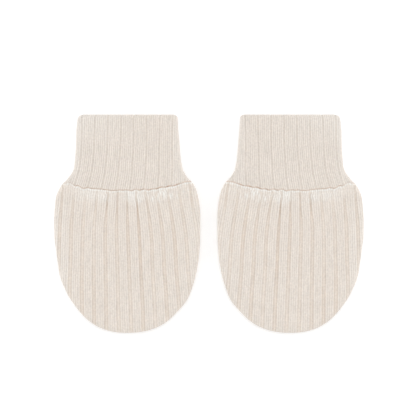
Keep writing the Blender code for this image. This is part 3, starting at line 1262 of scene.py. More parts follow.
@dataclass
class CuffTube:
    """A cuff: a flattened tube of rib knit, folded double, so that its cloth rolls over the lip inside."""

    hand: Hand
    centre_x: float
    outline: BodyOutline
    seam: WristSeam
    ribs: CuffRibs
    fold_level: float
    seam_height: float
    fold_height: float = 5.0 * MM
    fold_width: float = 54.7 * MM
    taper: float = 0.0625  # how far each side spreads for each length down from the fold
    flare_reach: float = 3.95 * MM  # how soon the flare at the seam dies away
    swell_from: float = 3.0 * MM  # how far above the seam the sides' swells reach their full size
    wall: float = 2.2 * MM
    outer_corner: float = 2.6 * MM
    inner_corner: float = 1.6 * MM
    crease: float = 0.26 * MM
    crease_reach: float = 0.35 * MM
    loose_rise: float = 0.35  # how much of the crease is lost where the seam is loose
    column_pitch: float = 0.19 * MM
    side_steps: int = 26
    row_pitch: float = 0.55 * MM
    seam_grading: tuple[float, float] = (4.0 * MM, 0.06 * MM)  # how far up the mesh is closer, and its pitch
    fold_grading: tuple[float, float] = (1.0 * MM, 0.3 * MM)
    lip_steps: int = 14
    turned_in: float = 9.0 * MM  # how far down inside the fine knit goes
    inner_pitch: float = 1.2 * MM
    inner_grading: tuple[float, float] = (6.0 * MM, 0.3 * MM)
    inner_end: tuple[float, float] = (0.1 * MM, 1.2 * MM)
    inner_fade: tuple[float, float] = (0.4, 0.95)  # where the ribs fade out on the way down inside, as shares
    lining_flat: int = 34
    lining_side: int = 5
    lining_rows: int = 7
    softness: float = 0.10 * MM
    soft_noise: SoftNoise = SoftNoise(33, 21.0 * MM)
    soft_from: float = 8.0 * MM
    relief_from: float = 0.5 * MM  # how far above the seam the ribs reach their full depth
    crease_shade_reach: tuple[float, float] = (0.05 * MM, 0.70 * MM)  # how far from the seam its painted crease shade shows
    paleness: float = 0.35  # painted highlight on the cloth beside the side folds
    pale_edge: tuple[float, float] = (3.0 * MM, 6.0 * MM)
    pale_from: tuple[float, float] = (0.0, 0.15)  # where that begins below the fold, as shares of the length
    base_paleness: float = 0.20
    lip_share: float = 0.55  # how much of the wales' height is left where the cloth folds over
    lip_reach: float = 1.6 * MM
    palest_place: tuple[float, float] = (-20.0 * MM, 60.0 * MM)  # the middle of the palest patch
    palest_reach: tuple[float, float] = (18.0 * MM, 13.0 * MM)
    palest: float = 0.75

    OUT_OF_REACH = 1.0  # stands for the distance from the seam of the cloth turned in

    @property
    def node(self) -> str:
        """The node that the cuff stands for."""
        return f"{self.hand.word}_cuff"

    @property
    def length(self) -> float:
        """The cuff's length from the lowest point of the wrist seam to its fold."""
        return self.fold_level - float(self.seam.point(np.zeros(1))[0, 1])

    def _plain_half(self, level: np.ndarray | float) -> np.ndarray | float:
        """Half the cuff's width at each level, without its flare and its swells."""
        return self.fold_width / 2 + self.taper * (self.fold_level - level)

    def _side(self, side: int, t: np.ndarray) -> np.ndarray:
        """The cuff's outline on one side.

        Args:
            side: OUTER or INNER.
            t: Shares along, from 0 at the seam to 1 at the fold.

        Returns:
            A point for each t.
        """
        seam_level = self.seam.level_at_end(side)
        level = seam_level + (self.fold_level - seam_level) * t
        flare = abs(self.outline.side_at(side, seam_level)) - self._plain_half(seam_level)
        flare = flare * np.exp(-(level - seam_level) / self.flare_reach) + self._swell(side, level)
        corner = self.outer_corner if side == OUTER else self.inner_corner
        into = np.clip(level - (self.fold_level - corner), 0.0, corner)
        rounded_off = corner - np.sqrt(corner**2 - into**2)
        return np.stack([side * (self._plain_half(level) + flare - rounded_off), level], -1)

    def _swell(self, side: int, level: np.ndarray) -> np.ndarray:
        """How far a side's swells move it outwards at each level above the seam."""
        fading = ease(level - self.seam.level_at_end(side), 0.0, self.swell_from)
        return swelled(CUFF_SWELLS, side, level) * fading

    def _fold(self, s: np.ndarray) -> np.ndarray:
        """Points of the fold, s from -1 at its outer end to 1 at its inner end."""
        return np.stack([s * self.fold_width / 2, np.full_like(s, self.fold_level)], -1)

    def _rings(
        self, t: np.ndarray, inset: np.ndarray, flat: int, steps: int
    ) -> tuple[np.ndarray, np.ndarray, np.ndarray]:
        """Rings of points round the tube.

        Args:
            t: Each ring's share of the way from the seam to the fold.
            inset: How far each ring is sunk into the wall.
            flat: Points across each flat side.
            steps: Steps round each side fold.

        Returns:
            The points, one row for each ring, their places round the cuff, measured along the cloth, and
            their distances above the seam.
        """
        outer, inner = self._side(OUTER, t), self._side(INNER, t)
        half = (inner[:, 0] - outer[:, 0])[:, None] / 2
        height = (self.seam_height + (self.fold_height - self.seam_height) * t)[:, None]
        straight = 1.0 - height / 2 / half
        radius = height / 2 - inset[:, None]
        across = np.linspace(-1.0, 1.0, flat)[None] * straight
        turn = (math.pi * np.arange(1, steps) / steps)[None]
        out = np.sin(turn) * radius / half
        s = np.concatenate([across, straight + out, -across, -straight - out], 1)
        flat_rise = np.broadcast_to(radius, across.shape)
        rise = np.concatenate([flat_rise, np.cos(turn) * radius, -flat_rise, -np.cos(turn) * radius], 1)
        bent = straight * half + np.minimum(turn, math.pi - turn) * height / 2
        place = np.concatenate([across * half, bent, -across * half, -bent], 1)
        tips = np.array([-1.0, 1.0])
        corners = (self.seam.point(tips), self._fold(tips))
        plan = coons(self.seam.point(s), self._fold(s), outer, inner, corners, s, t)
        x, y = np.moveaxis(plan, -1, 0)
        above = np.maximum(0.0, y - self.seam.level_at(x))
        y = y + self.seam.wave_at(x, above) + self.seam.parting_at(above)
        soft = self.softness * self.soft_noise.at(x, y) * np.maximum(0.0, rise / (height / 2))
        soft = soft * ease(above, 0.0, self.soft_from) * (1.0 - ease(inset[:, None], 0.0, self.wall / 2))
        return np.stack([x, y, height / 2 + rise + soft], -1), place, above

    def _pale_at(self, x: np.ndarray, y: np.ndarray) -> np.ndarray:
        """How much paler the cloth is: more so beside the side folds, where a highlight is painted, and at
        one corner.

        Args:
            x: Places across.
            y: Levels.

        Returns:
            The paleness at each place.
        """
        share = (self.fold_level - y) / (self.fold_level - self.seam.inner_level)
        beside_fold = 1.0 - ease(self._plain_half(y) - np.abs(x), *self.pale_edge)
        # painted highlight beside the side folds
        side_fold_highlight = self.paleness * beside_fold * ease(share, *self.pale_from)
        off_x = (x - self.palest_place[0]) / self.palest_reach[0]
        off_y = (y - self.palest_place[1]) / self.palest_reach[1]
        return self.base_paleness + side_fold_highlight + self.palest * np.exp(-(off_x**2) - off_y**2)

    def _knit(self, skin: Skin) -> tuple[np.ndarray, float]:
        """Adds the fine knit: up the outside, over the lip and a little way down inside.

        Args:
            skin: What it is added to.

        Returns:
            Its rings of point numbers, and the last ring's distance along the cuff.
        """
        roll = self.wall / 2
        up = graded(self.length - roll, self.row_pitch, self.seam_grading, self.fold_grading)
        dive = self.crease * (1.0 - quarter_round(up, self.crease_reach))
        lip = math.pi * np.arange(1, self.lip_steps + 1) / self.lip_steps
        down = graded(self.turned_in, self.inner_pitch, self.inner_grading, self.inner_end)[1:]
        distance = np.concatenate([up, self.length - roll * (1.0 - np.sin(lip)), self.length - roll - down])
        inset = np.concatenate([dive, roll * (1.0 - np.cos(lip)), np.full(len(down), self.wall)])
        flat = int(self.fold_width / self.column_pitch)
        points, place, above = self._rings(distance / self.length, inset, flat, self.side_steps)
        outer_face = points[: len(up)]
        on_top = outer_face[..., 2] > self.seam_height / 2
        loose = self.seam.loose_at(outer_face[..., 0])
        outer_face[..., 2] += self.loose_rise * dive[:, None] * loose * on_top
        row = np.arange(len(distance))[:, None]
        outside = row < len(up) + len(lip) // 2
        above = np.where(outside, above, self.OUT_OF_REACH)
        deep = 1.0 - ease((row - len(up) - len(lip)) / len(down), *self.inner_fade)
        strength = ease(above, 0.0, self.relief_from) * deep
        flattened = (1.0 - self.lip_share) * np.exp(-(((distance - self.length) / self.lip_reach) ** 2))
        x, y = points[..., 0], points[..., 1]
        values = {
            "rib": self.ribs.across(place, y),
            "course": distance[:, None],
            "groove_share": strength,
            "groove_spread": 1.0,
            "wale_share": strength * (1.0 - flattened[:, None]),
            "pale": self._pale_at(x, y),
            # painted shade in the wrist seam's crease
            "seam": self.seam.crease_shade_at(x) * (1.0 - ease(above, *self.crease_shade_reach)) * outside,
        }
        rings = skin.add_points(points, values)
        skin.add_quads(rings, closed=True, flip=True)
        return rings, distance[-1]

    def _lining(self, skin: Skin, start: float) -> np.ndarray:
        """Adds the rest of the inside, down to the seam, which is coarse.

        Args:
            skin: What it is added to.
            start: Where the fine knit ends, as a distance along the cuff.

        Returns:
            Its rings of point numbers.
        """
        low = np.linspace(start, 0.0, self.lining_rows + 1)[1:]
        sunk = np.full(len(low), self.wall)
        points, _, _ = self._rings(low / self.length, sunk, self.lining_flat, self.lining_side)
        rings = skin.add_points(points, {"rib": MIDDLE_OF_RIB, "course": low[:, None]})
        skin.add_quads(rings, closed=True, flip=True)
        return rings

    def build(self) -> bpy.types.Object:
        """Makes the cuff as one closed skin, without its ribs.

        Returns:
            The cuff's object.
        """
        skin = Skin()
        knit, knit_end = self._knit(skin)
        lining = self._lining(skin, knit_end)
        for first, second in ((knit[-1], lining[0]), (lining[-1], knit[0])):
            skin.zip_strips(np.append(first, first[0]), np.append(second, second[0]))
        return skin.make(f"{self.node}_knit", self.hand, self.centre_x)


# --------------------------------------------------------------------------------------------------
# Node trees


class NodeSheet:
    """A node tree that is being laid out, with short ways to add what it needs."""

    def __init__(self, tree: bpy.types.NodeTree) -> None:
        """Starts on a tree."""
        self.tree = tree

    def add(self, kind: str, **settings: object) -> bpy.types.Node:
        """Adds a node.

        Args:
            kind: The node's type.
            settings: Its settings, by name.

        Returns:
            The node.
        """
        node = self.tree.nodes.new(kind)
        for name, value in settings.items():
            setattr(node, name, value)
        return node

    def feed(self, node: bpy.types.Node, **inputs: object) -> bpy.types.Node:
        """Fills a node's inputs.

        Args:
            node: The node.
            inputs: A socket to link or a value to hold, by the input's name with _ for a space.

        Returns:
            The same node.
        """
        for name, value in inputs.items():
            self._give(node.inputs[name.replace("_", " ")], value)
        return node

    def _give(self, socket: bpy.types.NodeSocket, value: object) -> None:
        """Links a socket, or sets its value.

        Args:
            socket: The input.
            value: The socket to link to it, or the value.
        """
        if isinstance(value, bpy.types.NodeSocket):
            self.tree.links.new(value, socket)
        else:
            socket.default_value = value

    def math(self, operation: str, *operands: object) -> bpy.types.NodeSocket:
        """Adds a sum on numbers.

        Args:
            operation: Which sum.
            operands: Sockets or numbers.

        Returns:
            Its result.
        """
        node = self.add("ShaderNodeMath", operation=operation)
        for socket, value in zip(node.inputs, operands):
            self._give(socket, value)
        return node.outputs[0]

    def product(self, first: object, *others: object) -> bpy.types.NodeSocket:
        """Multiplies numbers, one after another.

        Args:
            first: A socket or number.
            others: What it is multiplied by.

        Returns:
            The product.
        """
        for other in others:
            first = self.math("MULTIPLY", first, other)
        return first

    def step(
        self, value: object, low: object, high: object, start: object = 0.0, end: object = 1.0
    ) -> bpy.types.NodeSocket:
        """Adds a smooth step.

        Args:
            value: Where it is read.
            low: Where it starts.
            high: Where it ends.
            start: Its height at the start.
            end: Its height at the end.

        Returns:
            Its height at the value.
        """
        node = self.add("ShaderNodeMapRange", interpolation_type="SMOOTHSTEP")
        self.feed(node, Value=value, From_Min=low, From_Max=high, To_Min=start, To_Max=end)
        return node.outputs[0]

    def noise(self, place: bpy.types.NodeSocket, scale: float, detail: float = 2.0) -> bpy.types.NodeSocket:
        """Adds a noise.

        Args:
            place: Where it is read.
            scale: Its scale.
            detail: How many finer layers it has.

        Returns:
            Its height, between 0 and 1.
        """
        node = self.add("ShaderNodeTexNoise")
        return self.feed(node, Vector=place, Scale=scale, Detail=detail).outputs[0]

    def blend(self, share: object, first: object, second: object) -> bpy.types.NodeSocket:
        """Adds a mix of two colours.

        Args:
            share: How much of the second there is.
            first: The first colour.
            second: The second colour.

        Returns:
            The mixed colour.
        """
        node = self.add("ShaderNodeMix", data_type="RGBA")
        by_name = {socket.identifier: socket for socket in node.inputs}
        for name, value in (("Factor_Float", share), ("A_Color", first), ("B_Color", second)):
            self._give(by_name[name], value)
        return next(socket for socket in node.outputs if socket.identifier == "Result_Color")


class ReliefSheet(NodeSheet):
    """The relief's tree while it is laid out, with its inputs at hand."""

    def __init__(self, tree: bpy.types.NodeTree) -> None:
        """Starts on a tree whose inputs are there."""
        super().__init__(tree)
        self.given = self.add("NodeGroupInput").outputs

    def carried(self, name: str) -> bpy.types.NodeSocket:
        """A number that the cloth's points carry."""
        node = self.add("GeometryNodeInputNamedAttribute", data_type="FLOAT")
        return self.feed(node, Name=name).outputs["Attribute"]


@dataclass(frozen=True)
class RibRelief:
    """The relief of a rib: sunk grooves, and the fine wales of the ribs between them."""

    groove_depth: float
    groove_share: float  # half a groove's width, in repeats
    softness: float  # half the width of the groove's edge, in repeats
    wales: int  # wales on each rib
    wale_height: float
    brim_height: float  # how far a rib's outermost wales stand out
    groove_shade_tone: float = 1.0  # how strongly the grooves take the painted shade

    TREE = "rib relief"
    BRIM_WIDTH = 0.09  # of a rib's raised outermost part, in repeats
    WALE_POWER = 0.6  # below 1, it makes the wales broad and the valleys between them narrow

    def apply(self, piece: bpy.types.Object, finish: bpy.types.Material) -> None:
        """Sinks the relief into a piece and dresses it.

        Args:
            piece: The piece, whose points carry their place across the ribs.
            finish: Its material.
        """
        given = {**self._sizes(), "Knit": finish}
        tree = bpy.data.node_groups.get(self.TREE) or self._tree()
        modifier = piece.modifiers.new(self.TREE, "NODES")
        modifier.node_group = tree
        for item in tree.interface.items_tree:
            if item.in_out == "INPUT" and item.name in given:
                modifier[item.identifier] = given[item.name]
        made_plain(piece)

    def _sizes(self) -> dict[str, float]:
        """The tree's sizes.

        Returns:
            The sizes, by the names of the tree's inputs.
        """
        return {
            "Groove depth": self.groove_depth,
            "Groove share": self.groove_share,
            "Edge softness": self.softness,
            "Wales on a rib": float(self.wales),
            "Wale height": self.wale_height,
            "Brim height": self.brim_height,
            "Groove shade tone": self.groove_shade_tone,
        }

    def _tree(self) -> bpy.types.NodeTree:
        """Lays out the tree that sinks the grooves and raises the wales along each point's normal.

        Returns:
            The tree.
        """
        tree = bpy.data.node_groups.new(self.TREE, "GeometryNodeTree")
        tree.is_modifier = True
        tree.interface.new_socket("Cloth", in_out="OUTPUT", socket_type="NodeSocketGeometry")
        tree.interface.new_socket("Cloth", in_out="INPUT", socket_type="NodeSocketGeometry")
        for name in self._sizes():
            tree.interface.new_socket(name, in_out="INPUT", socket_type="NodeSocketFloat")
        tree.interface.new_socket("Knit", in_out="INPUT", socket_type="NodeSocketMaterial")
        sheet = ReliefSheet(tree)
        rib = sheet.carried("rib")
        whole = sheet.math("ROUND", rib)
        off = sheet.math("SUBTRACT", rib, whole)
        half = sheet.product(sheet.given["Groove share"], sheet.carried("groove_spread"))
        hollow, brim = self._groove(sheet, sheet.math("ABSOLUTE", off), half)
        wale = self._wale(sheet, whole, off, half)
        strength = sheet.carried("groove_share")
        share = sheet.product(hollow, strength)
        brim_share = sheet.product(brim, sheet.math("MINIMUM", strength, 1.0))
        wales_sunk = sheet.product(sheet.given["Wale height"], self._valley(sheet, wale))
        sunk = sheet.math("ADD", sheet.product(sheet.given["Groove depth"], share), wales_sunk)
        sunk = sheet.math("SUBTRACT", sunk, sheet.product(sheet.given["Brim height"], brim_share))
        # the finish paints shade into the grooves by how far they sink, and a highlight on the ribs' brims
        tone = sheet.product(share, sheet.given["Groove shade tone"])
        self._dress(sheet, sunk, {"wale": wale, "hollow": tone, "brim": brim_share})
        return tree

    def _groove(
        self, sheet: ReliefSheet, away: bpy.types.NodeSocket, half: bpy.types.NodeSocket
    ) -> tuple[bpy.types.NodeSocket, bpy.types.NodeSocket]:
        """Where the nearest groove is hollow, and where the ribs beside it stand out.

        Args:
            sheet: The tree.
            away: Distance from the groove's middle, in repeats.
            half: Half the groove's width.

        Returns:
            The hollow's share and the brim's share, each from 0 to 1.
        """
        low = sheet.math("SUBTRACT", half, sheet.given["Edge softness"])
        high = sheet.math("ADD", half, sheet.given["Edge softness"])
        hollow = sheet.step(away, low, high, 1.0, 0.0)
        brim_end = sheet.math("ADD", high, self.BRIM_WIDTH)
        return hollow, sheet.product(sheet.step(away, low, high), sheet.step(away, high, brim_end, 1.0, 0.0))

    @staticmethod
    def _wale(
        sheet: ReliefSheet,
        whole: bpy.types.NodeSocket,
        off: bpy.types.NodeSocket,
        half: bpy.types.NodeSocket,
    ) -> bpy.types.NodeSocket:
        """Counts the wales: one in the bottom of each groove, and the given number on each rib.

        Args:
            sheet: The tree.
            whole: The nearest groove.
            off: Place beside its middle, in repeats.
            half: Half the groove's width.

        Returns:
            The place across the wales, a whole number at the middle of each.
        """
        away = sheet.math("ABSOLUTE", off)
        in_groove = sheet.math("DIVIDE", sheet.math("MINIMUM", away, half), half)
        on_rib = sheet.math("MAXIMUM", sheet.math("SUBTRACT", away, half), 0.0)
        rib_share = sheet.math("DIVIDE", on_rib, sheet.math("SUBTRACT", 0.5, half))
        counted = sheet.math("ADD", in_groove, sheet.product(rib_share, sheet.given["Wales on a rib"]))
        signed = sheet.product(counted, 0.5, sheet.math("SIGN", off))
        repeat = sheet.math("ADD", sheet.given["Wales on a rib"], 1.0)
        return sheet.math("ADD", sheet.product(whole, repeat), signed)

    def _valley(self, sheet: ReliefSheet, wale: bpy.types.NodeSocket) -> bpy.types.NodeSocket:
        """How deep each place lies between two wales.

        Args:
            sheet: The tree.
            wale: Place across the wales.

        Returns:
            The depth, as a share of the wales' height there.
        """
        wave = sheet.math("COSINE", sheet.product(wale, TURN))
        rise = sheet.product(sheet.math("ADD", 1.0, wave), 0.5)
        valley = sheet.math("SUBTRACT", 1.0, sheet.math("POWER", rise, self.WALE_POWER))
        return sheet.product(valley, sheet.carried("wale_share"))

    @staticmethod
    def _dress(
        sheet: ReliefSheet, sunk: bpy.types.NodeSocket, stored: dict[str, bpy.types.NodeSocket]
    ) -> None:
        """Moves the cloth's points inwards, stores what the finish reads, and gives the cloth its finish.

        Args:
            sheet: The tree.
            sunk: How far each point sinks.
            stored: What the points go on to carry, by name.
        """
        cloth = sheet.given["Cloth"]
        for name, value in stored.items():
            store = sheet.add("GeometryNodeStoreNamedAttribute", data_type="FLOAT", domain="POINT")
            cloth = sheet.feed(store, Name=name, Geometry=cloth, Value=value).outputs["Geometry"]
        normal = sheet.add("GeometryNodeInputNormal").outputs[0]
        offset = sheet.add("ShaderNodeVectorMath", operation="SCALE")
        sheet.feed(offset, Vector=normal, Scale=sheet.product(sunk, -1.0))
        moved = sheet.feed(sheet.add("GeometryNodeSetPosition"), Geometry=cloth, Offset=offset.outputs[0])
        realized = sheet.add("GeometryNodeRealizeInstances")
        sheet.feed(realized, Geometry=moved.outputs["Geometry"])
        dressed = sheet.add("GeometryNodeSetMaterial")
        sheet.feed(dressed, Geometry=realized.outputs["Geometry"], Material=sheet.given["Knit"])
        sheet.feed(sheet.add("NodeGroupOutput"), Cloth=dressed.outputs["Geometry"])


def made_plain(piece: bpy.types.Object) -> None:
    """Turns what a piece's modifiers make into its plain mesh, and removes them.

    Args:
        piece: The piece.
    """
    bpy.context.view_layer.update()
    seen = piece.evaluated_get(bpy.context.evaluated_depsgraph_get())
    mesh = bpy.data.meshes.new_from_object(seen)
    old = piece.data
    piece.modifiers.clear()
    piece.data = mesh
    bpy.data.meshes.remove(old)
    mesh.name = piece.name


# --------------------------------------------------------------------------------------------------
# Finishes

Colour = tuple[float, float, float, float]


class KnitSheet(NodeSheet):
    """The knit's material while it is laid out, with the place on the cloth at hand."""

    def __init__(self, tree: bpy.types.NodeTree) -> None:
        """Starts on a material's tree."""
        super().__init__(tree)
        self.wale, self.course = self.carried("wale"), self.carried("course")

    def carried(self, name: str) -> bpy.types.NodeSocket:
        """A number that the cloth's points carry."""
        return self.add("ShaderNodeAttribute", attribute_name=name).outputs["Fac"]


@dataclass(frozen=True)
class KnitFinish:
    """Matt cream cotton knit with painted light and shade: paler where highlights are painted, browner where
    shade is painted down in the grooves, between the wales and at the seam's crease.
    """

    name: str = "cream rib knit"
    cream: Colour = (0.794, 0.727, 0.662, 1.0)
    # painted shade down in the grooves
    hollow: Colour = (0.680, 0.545, 0.430, 1.0)
    # painted shade in the valleys between the wales
    valley: Colour = (0.640, 0.570, 0.500, 1.0)
    # the colour of the painted highlights, and of the cloth's paler tone
    pale: Colour = (0.897, 0.887, 0.852, 1.0)
    # painted shade in the wrist seam's crease
    seam: Colour = (0.620, 0.445, 0.335, 1.0)
    roughness: float = 0.92
    sheen: float = 0.3
    sheen_roughness: float = 0.6
    specular: float = 0.25
    groove_shade_share: float = 0.25  # how much of the painted groove shade a usual groove takes
    valley_shade_share: float = 0.47  # how much of the painted shade colour shows in the valley between two wales
    # how much of the painted highlight colour the paleness takes
    pale_share: float = 0.30
    # how much of the painted crease shade shows at the seam
    seam_shade_share: float = 0.8
    lightness: float = 1.0235  # makes up for what the valleys' painted shade takes
    brim_highlight: float = 0.022  # painted highlight on the ribs' raised outermost wales
    streaks: float = 0.27  # unevenness from wale to wale
    streak_length: float = 105.0  # how quickly the streaks change along a wale
    streak_scale: float = 1.15
    clouds: float = 0.03
    cloud_scale: float = 55.0
    cloud_detail: float = 3.0
    fuzz: float = 0.34
    fibre_scale: float = 1050.0
    warmth: float = 0.40  # unevenness of the colour's strength
    warmth_scale: float = 800.0
    hue_shift: float = 0.020  # unevenness of its hue
    hue_scale: float = 664.0
    course: float = 0.78 * MM
    stitch_depth: float = 0.10 * MM
    stitch_strength: float = 0.6
    loop_slant: float = 1.3  # how steeply a loop's legs run, in courses for each wale
    loop_height: float = 0.5  # these heights are shares of the stitches' depth
    side_depth: float = 1.2
    side_power: float = 4.0  # how narrow the valley between two wales is
    middle_depth: float = 0.35
    middle_width: float = 0.16  # in wales

    def build(self) -> bpy.types.Material:
        """Makes the material, which reads what the cloth's points carry.

        Returns:
            The material.
        """
        material = bpy.data.materials.new(self.name)
        material.use_nodes = True
        sheet = KnitSheet(material.node_tree)
        sheet.feed(
            material.node_tree.nodes["Principled BSDF"],
            Base_Color=self._colour(sheet),
            Roughness=self.roughness,
            Sheen_Weight=self.sheen,
            Sheen_Roughness=self.sheen_roughness,
            Specular_IOR_Level=self.specular,
            Normal=self._stitches(sheet),
        )
        return material

    def _colour(self, sheet: KnitSheet) -> bpy.types.NodeSocket:
        """Mixes the yarn's colour over the cloth, with painted highlights and painted shade.

        Args:
            sheet: The material's tree.

        Returns:
            The colour.
        """
        # Painted shade between the wales, in the grooves and in the seam's crease, and painted highlights
        # where the cloth is paler and on the ribs' brims.
        wave = sheet.math("COSINE", sheet.product(sheet.wale, TURN))
        between = sheet.product(sheet.math("SUBTRACT", 1.0, wave), self.valley_shade_share / 2)
        cloth = sheet.blend(sheet.product(sheet.carried("pale"), self.pale_share), self.cream, self.pale)
        cloth = sheet.blend(between, cloth, self.valley)
        cloth = sheet.blend(sheet.product(sheet.carried("hollow"), self.groove_shade_share), cloth, self.hollow)
        cloth = sheet.blend(sheet.product(sheet.carried("seam"), self.seam_shade_share), cloth, self.seam)
        value = sheet.math("ADD", self.lightness, self._unevenness(sheet))
        value = sheet.math("ADD", value, sheet.product(sheet.carried("brim"), self.brim_highlight))
        place = sheet.add("ShaderNodeTexCoord").outputs["Object"]
        warm = sheet.noise(place, self.warmth_scale)
        strength = sheet.math("MULTIPLY_ADD", warm, self.warmth, 1.0 - self.warmth / 2)
        drift = sheet.noise(place, self.hue_scale)
        hue = sheet.math("MULTIPLY_ADD", drift, self.hue_shift, 0.5 - self.hue_shift / 2)
        toned = sheet.add("ShaderNodeHueSaturation")
        return sheet.feed(toned, Color=cloth, Value=value, Saturation=strength, Hue=hue).outputs[0]

    def _unevenness(self, sheet: KnitSheet) -> bpy.types.NodeSocket:
        """Small differences of tone: from wale to wale, cloudy, and from fibre to fibre.

        Args:
            sheet: The material's tree.

        Returns:
            How much lighter or darker each place is.
        """
        place = sheet.add("ShaderNodeTexCoord").outputs["Object"]
        along = sheet.product(sheet.course, self.streak_length)
        knit_place = sheet.feed(sheet.add("ShaderNodeCombineXYZ"), X=sheet.wale, Y=along).outputs[0]
        total = None
        for noise, height in (
            (sheet.noise(knit_place, self.streak_scale), self.streaks),
            (sheet.noise(place, self.cloud_scale, self.cloud_detail), self.clouds),
            (sheet.noise(place, self.fibre_scale), self.fuzz),
        ):
            part = sheet.product(sheet.math("SUBTRACT", noise, 0.5), height)
            total = part if total is None else sheet.math("ADD", total, part)
        return total

    def _stitches(self, sheet: KnitSheet) -> bpy.types.NodeSocket:
        """Raises the single stitches: each wale is a column of V-shaped loops.

        Args:
            sheet: The material's tree.

        Returns:
            The surface's direction with the bump of the stitches.
        """
        away = sheet.math("ABSOLUTE", sheet.math("WRAP", sheet.wale, -0.5, 0.5))
        rows = sheet.math("DIVIDE", sheet.course, self.course)
        slanted = sheet.math("SUBTRACT", rows, sheet.product(away, self.loop_slant))
        loop = sheet.product(sheet.math("SINE", sheet.product(slanted, TURN)), self.loop_height)
        side = sheet.product(sheet.math("POWER", sheet.product(away, 2.0), self.side_power), -self.side_depth)
        middle = sheet.product(sheet.step(away, 0.0, self.middle_width, 1.0, 0.0), -self.middle_depth)
        height = sheet.math("ADD", sheet.math("ADD", loop, side), middle)
        bump = sheet.add("ShaderNodeBump")
        sheet.feed(bump, Strength=self.stitch_strength, Distance=self.stitch_depth, Height=height)
        return bump.outputs[0]


@dataclass(frozen=True)
class Studio:
    """A white table under soft light, with the camera straight above it."""

    aim: tuple[float, float, float] = (-0.47 * MM, 8.65 * MM, 4.0 * MM)
    frame_width: float = 0.2284
    lens: float = 100.0
    sensor: float = 36.0
    table_size: float = 6.0
    table_level: float = -0.02 * MM
    table_white: float = 0.94
    table_glow: float = 0.15  # keeps the table white up to the cloth
    sky: float = 0.80
    light_size: float = 0.5
    above_place: tuple[float, float, float] = (0.0, 0.35, 1.0)
    above_power: float = 1.4
    beside_place: tuple[float, float, float] = (0.9, 0.05, 0.34)  # and its mirror image
    beside_power: float = 2.0  # of each of the two low lights, which brighten the rims

    WHITE = (1.0, 1.0, 1.0, 1.0)

    def build(self) -> None:
        """Makes the table, the lights and the camera."""
        self._table()
        self._sky()
        self._softbox("above", self.above_place, self.above_power)
        x, y, z = self.beside_place
        for name, side in (("left", -1), ("right", 1)):
            self._softbox(name, (side * x, y, z), self.beside_power)
        self._camera()
        view = bpy.context.scene.view_settings
        view.view_transform = "Standard"
        view.look = "None"
        view.exposure = 0.0
        view.gamma = 1.0

    def _table(self) -> None:
        """Makes the table, which isn't part of the object."""
        bpy.ops.mesh.primitive_plane_add(size=self.table_size, location=(0.0, 0.0, self.table_level))
        table = bpy.context.object
        table.name = "table"
        paint = bpy.data.materials.new("matt white")
        paint.use_nodes = True
        NodeSheet(paint.node_tree).feed(
            paint.node_tree.nodes["Principled BSDF"],
            Base_Color=(self.table_white, self.table_white, self.table_white, 1.0),
            Roughness=1.0,
            Specular_IOR_Level=0.0,
            Emission_Color=self.WHITE,
            Emission_Strength=self.table_glow,
        )
        table.data.materials.append(paint)

    def _sky(self) -> None:
        """Makes the even white light from all round."""
        world = bpy.data.worlds.new("studio")
        world.use_nodes = True
        background = world.node_tree.nodes["Background"]
        NodeSheet(world.node_tree).feed(background, Color=self.WHITE, Strength=self.sky)
        bpy.context.scene.world = world

    def _softbox(self, name: str, place: tuple[float, float, float], power: float) -> None:
        """Makes a square light that faces the middle of the pair.

        Args:
            name: The light's name.
            place: Where it stands.
            power: Its power.
        """
        light = bpy.data.lights.new(name, "AREA")
        light.size = self.light_size
        light.energy = power
        lamp = bpy.data.objects.new(name, light)
        lamp.location = place
        lamp.rotation_euler = (-lamp.location).to_track_quat("-Z", "Y").to_euler()
        bpy.context.scene.collection.objects.link(lamp)

    def _camera(self) -> None:
        """Makes the camera, straight above its aim, with the cuffs' folds towards the top of its view."""
        camera = bpy.data.cameras.new("camera")
        camera.lens = self.lens
        camera.sensor_width = self.sensor
        holder = bpy.data.objects.new("camera", camera)
        holder.location = (*self.aim[:2], self.aim[2] + self.frame_width * self.lens / self.sensor)
        bpy.context.scene.collection.objects.link(holder)
        bpy.context.scene.camera = holder


# --------------------------------------------------------------------------------------------------
# The pair


@dataclass(frozen=True)
class Cut:
    """The size that a piece's cloth was cut to, unstretched, and how it is held."""

    flat: tuple[float, float]  # width and length
    held: str
    area: float | None = None  # where the cut isn't a rectangle


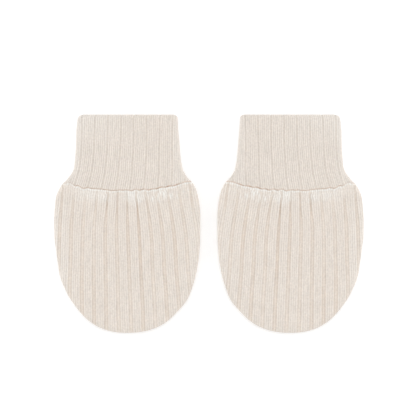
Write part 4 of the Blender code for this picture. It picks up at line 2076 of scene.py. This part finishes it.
PANELS = (
    (Face.FRONT, FRONT_FORM, FRONT_GROOVES, 0.19 * MM, 0.55 * MM),
    (Face.BACK, BACK_FORM, BACK_GROOVES, 0.23 * MM, 0.65 * MM),
)  # each panel's face, form and grooves, and its mesh's pitch across and along
BODY_RELIEF = RibRelief(
    groove_depth=0.28 * MM,
    groove_share=0.148,
    softness=0.024,
    wales=4,
    wale_height=0.165 * MM,
    brim_height=0.05 * MM,
)
CUFF_RELIEF = RibRelief(
    groove_depth=0.19 * MM,
    groove_share=0.045,
    softness=0.018,
    wales=6,
    wale_height=0.285 * MM,
    brim_height=0.03 * MM,
    groove_shade_tone=0.40,
)


@dataclass
class Mitten:
    """One mitten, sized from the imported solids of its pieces."""

    hand: Hand
    knit: bpy.types.Material
    seam_clearance: float = 0.15 * MM  # how far the seam's inner end is above the panels' solids

    def build(self) -> None:
        """Makes the mitten's three pieces and puts them on the frame."""
        low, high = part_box(f"{Hand.LEFT.word}_{Face.FRONT.word}")
        cuff_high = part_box(f"{Hand.LEFT.word}_cuff")[1]
        centre_x = (low.x + high.x) / 2
        outline = BodyOutline(half_width=(high.x - low.x) / 2, tip=low.y)
        seam = WristSeam(outline, inner_level=high.y + self.seam_clearance)
        for face, form, grooves, column_pitch, row_pitch in PANELS:
            ribs = BodyRibs(grooves)
            panel = BodyPanel(self.hand, face, centre_x, outline, seam, ribs, form, column_pitch, row_pitch)
            self._finish(panel.build(), panel.node, BODY_RELIEF)
        ribs = CuffRibs(cuff_high.y, seam.inner_level)
        cuff = CuffTube(self.hand, centre_x, outline, seam, ribs, cuff_high.y, seam_height=cuff_high.z)
        self._finish(cuff.build(), cuff.node, CUFF_RELIEF)

    def _finish(self, piece: bpy.types.Object, node: str, relief: RibRelief) -> None:
        """Gives a piece its ribs and its place on the frame.

        Args:
            piece: The piece.
            node: The node that it stands for.
            relief: Its ribs.
        """
        relief.apply(piece, self.knit)
        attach(piece, BODY)
        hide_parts(node)
        LOG.info("%s: %d faces", piece.name, len(piece.data.polygons))


def main() -> None:
    """Builds the pair and its studio, and logs each piece's face count."""
    logging.basicConfig(level=logging.INFO, format="%(name)s: %(message)s")
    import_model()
    Studio().build()
    knit = KnitFinish().build()
    for hand in Hand:
        Mitten(hand, knit).build()


if __name__ == "__main__":
    main()
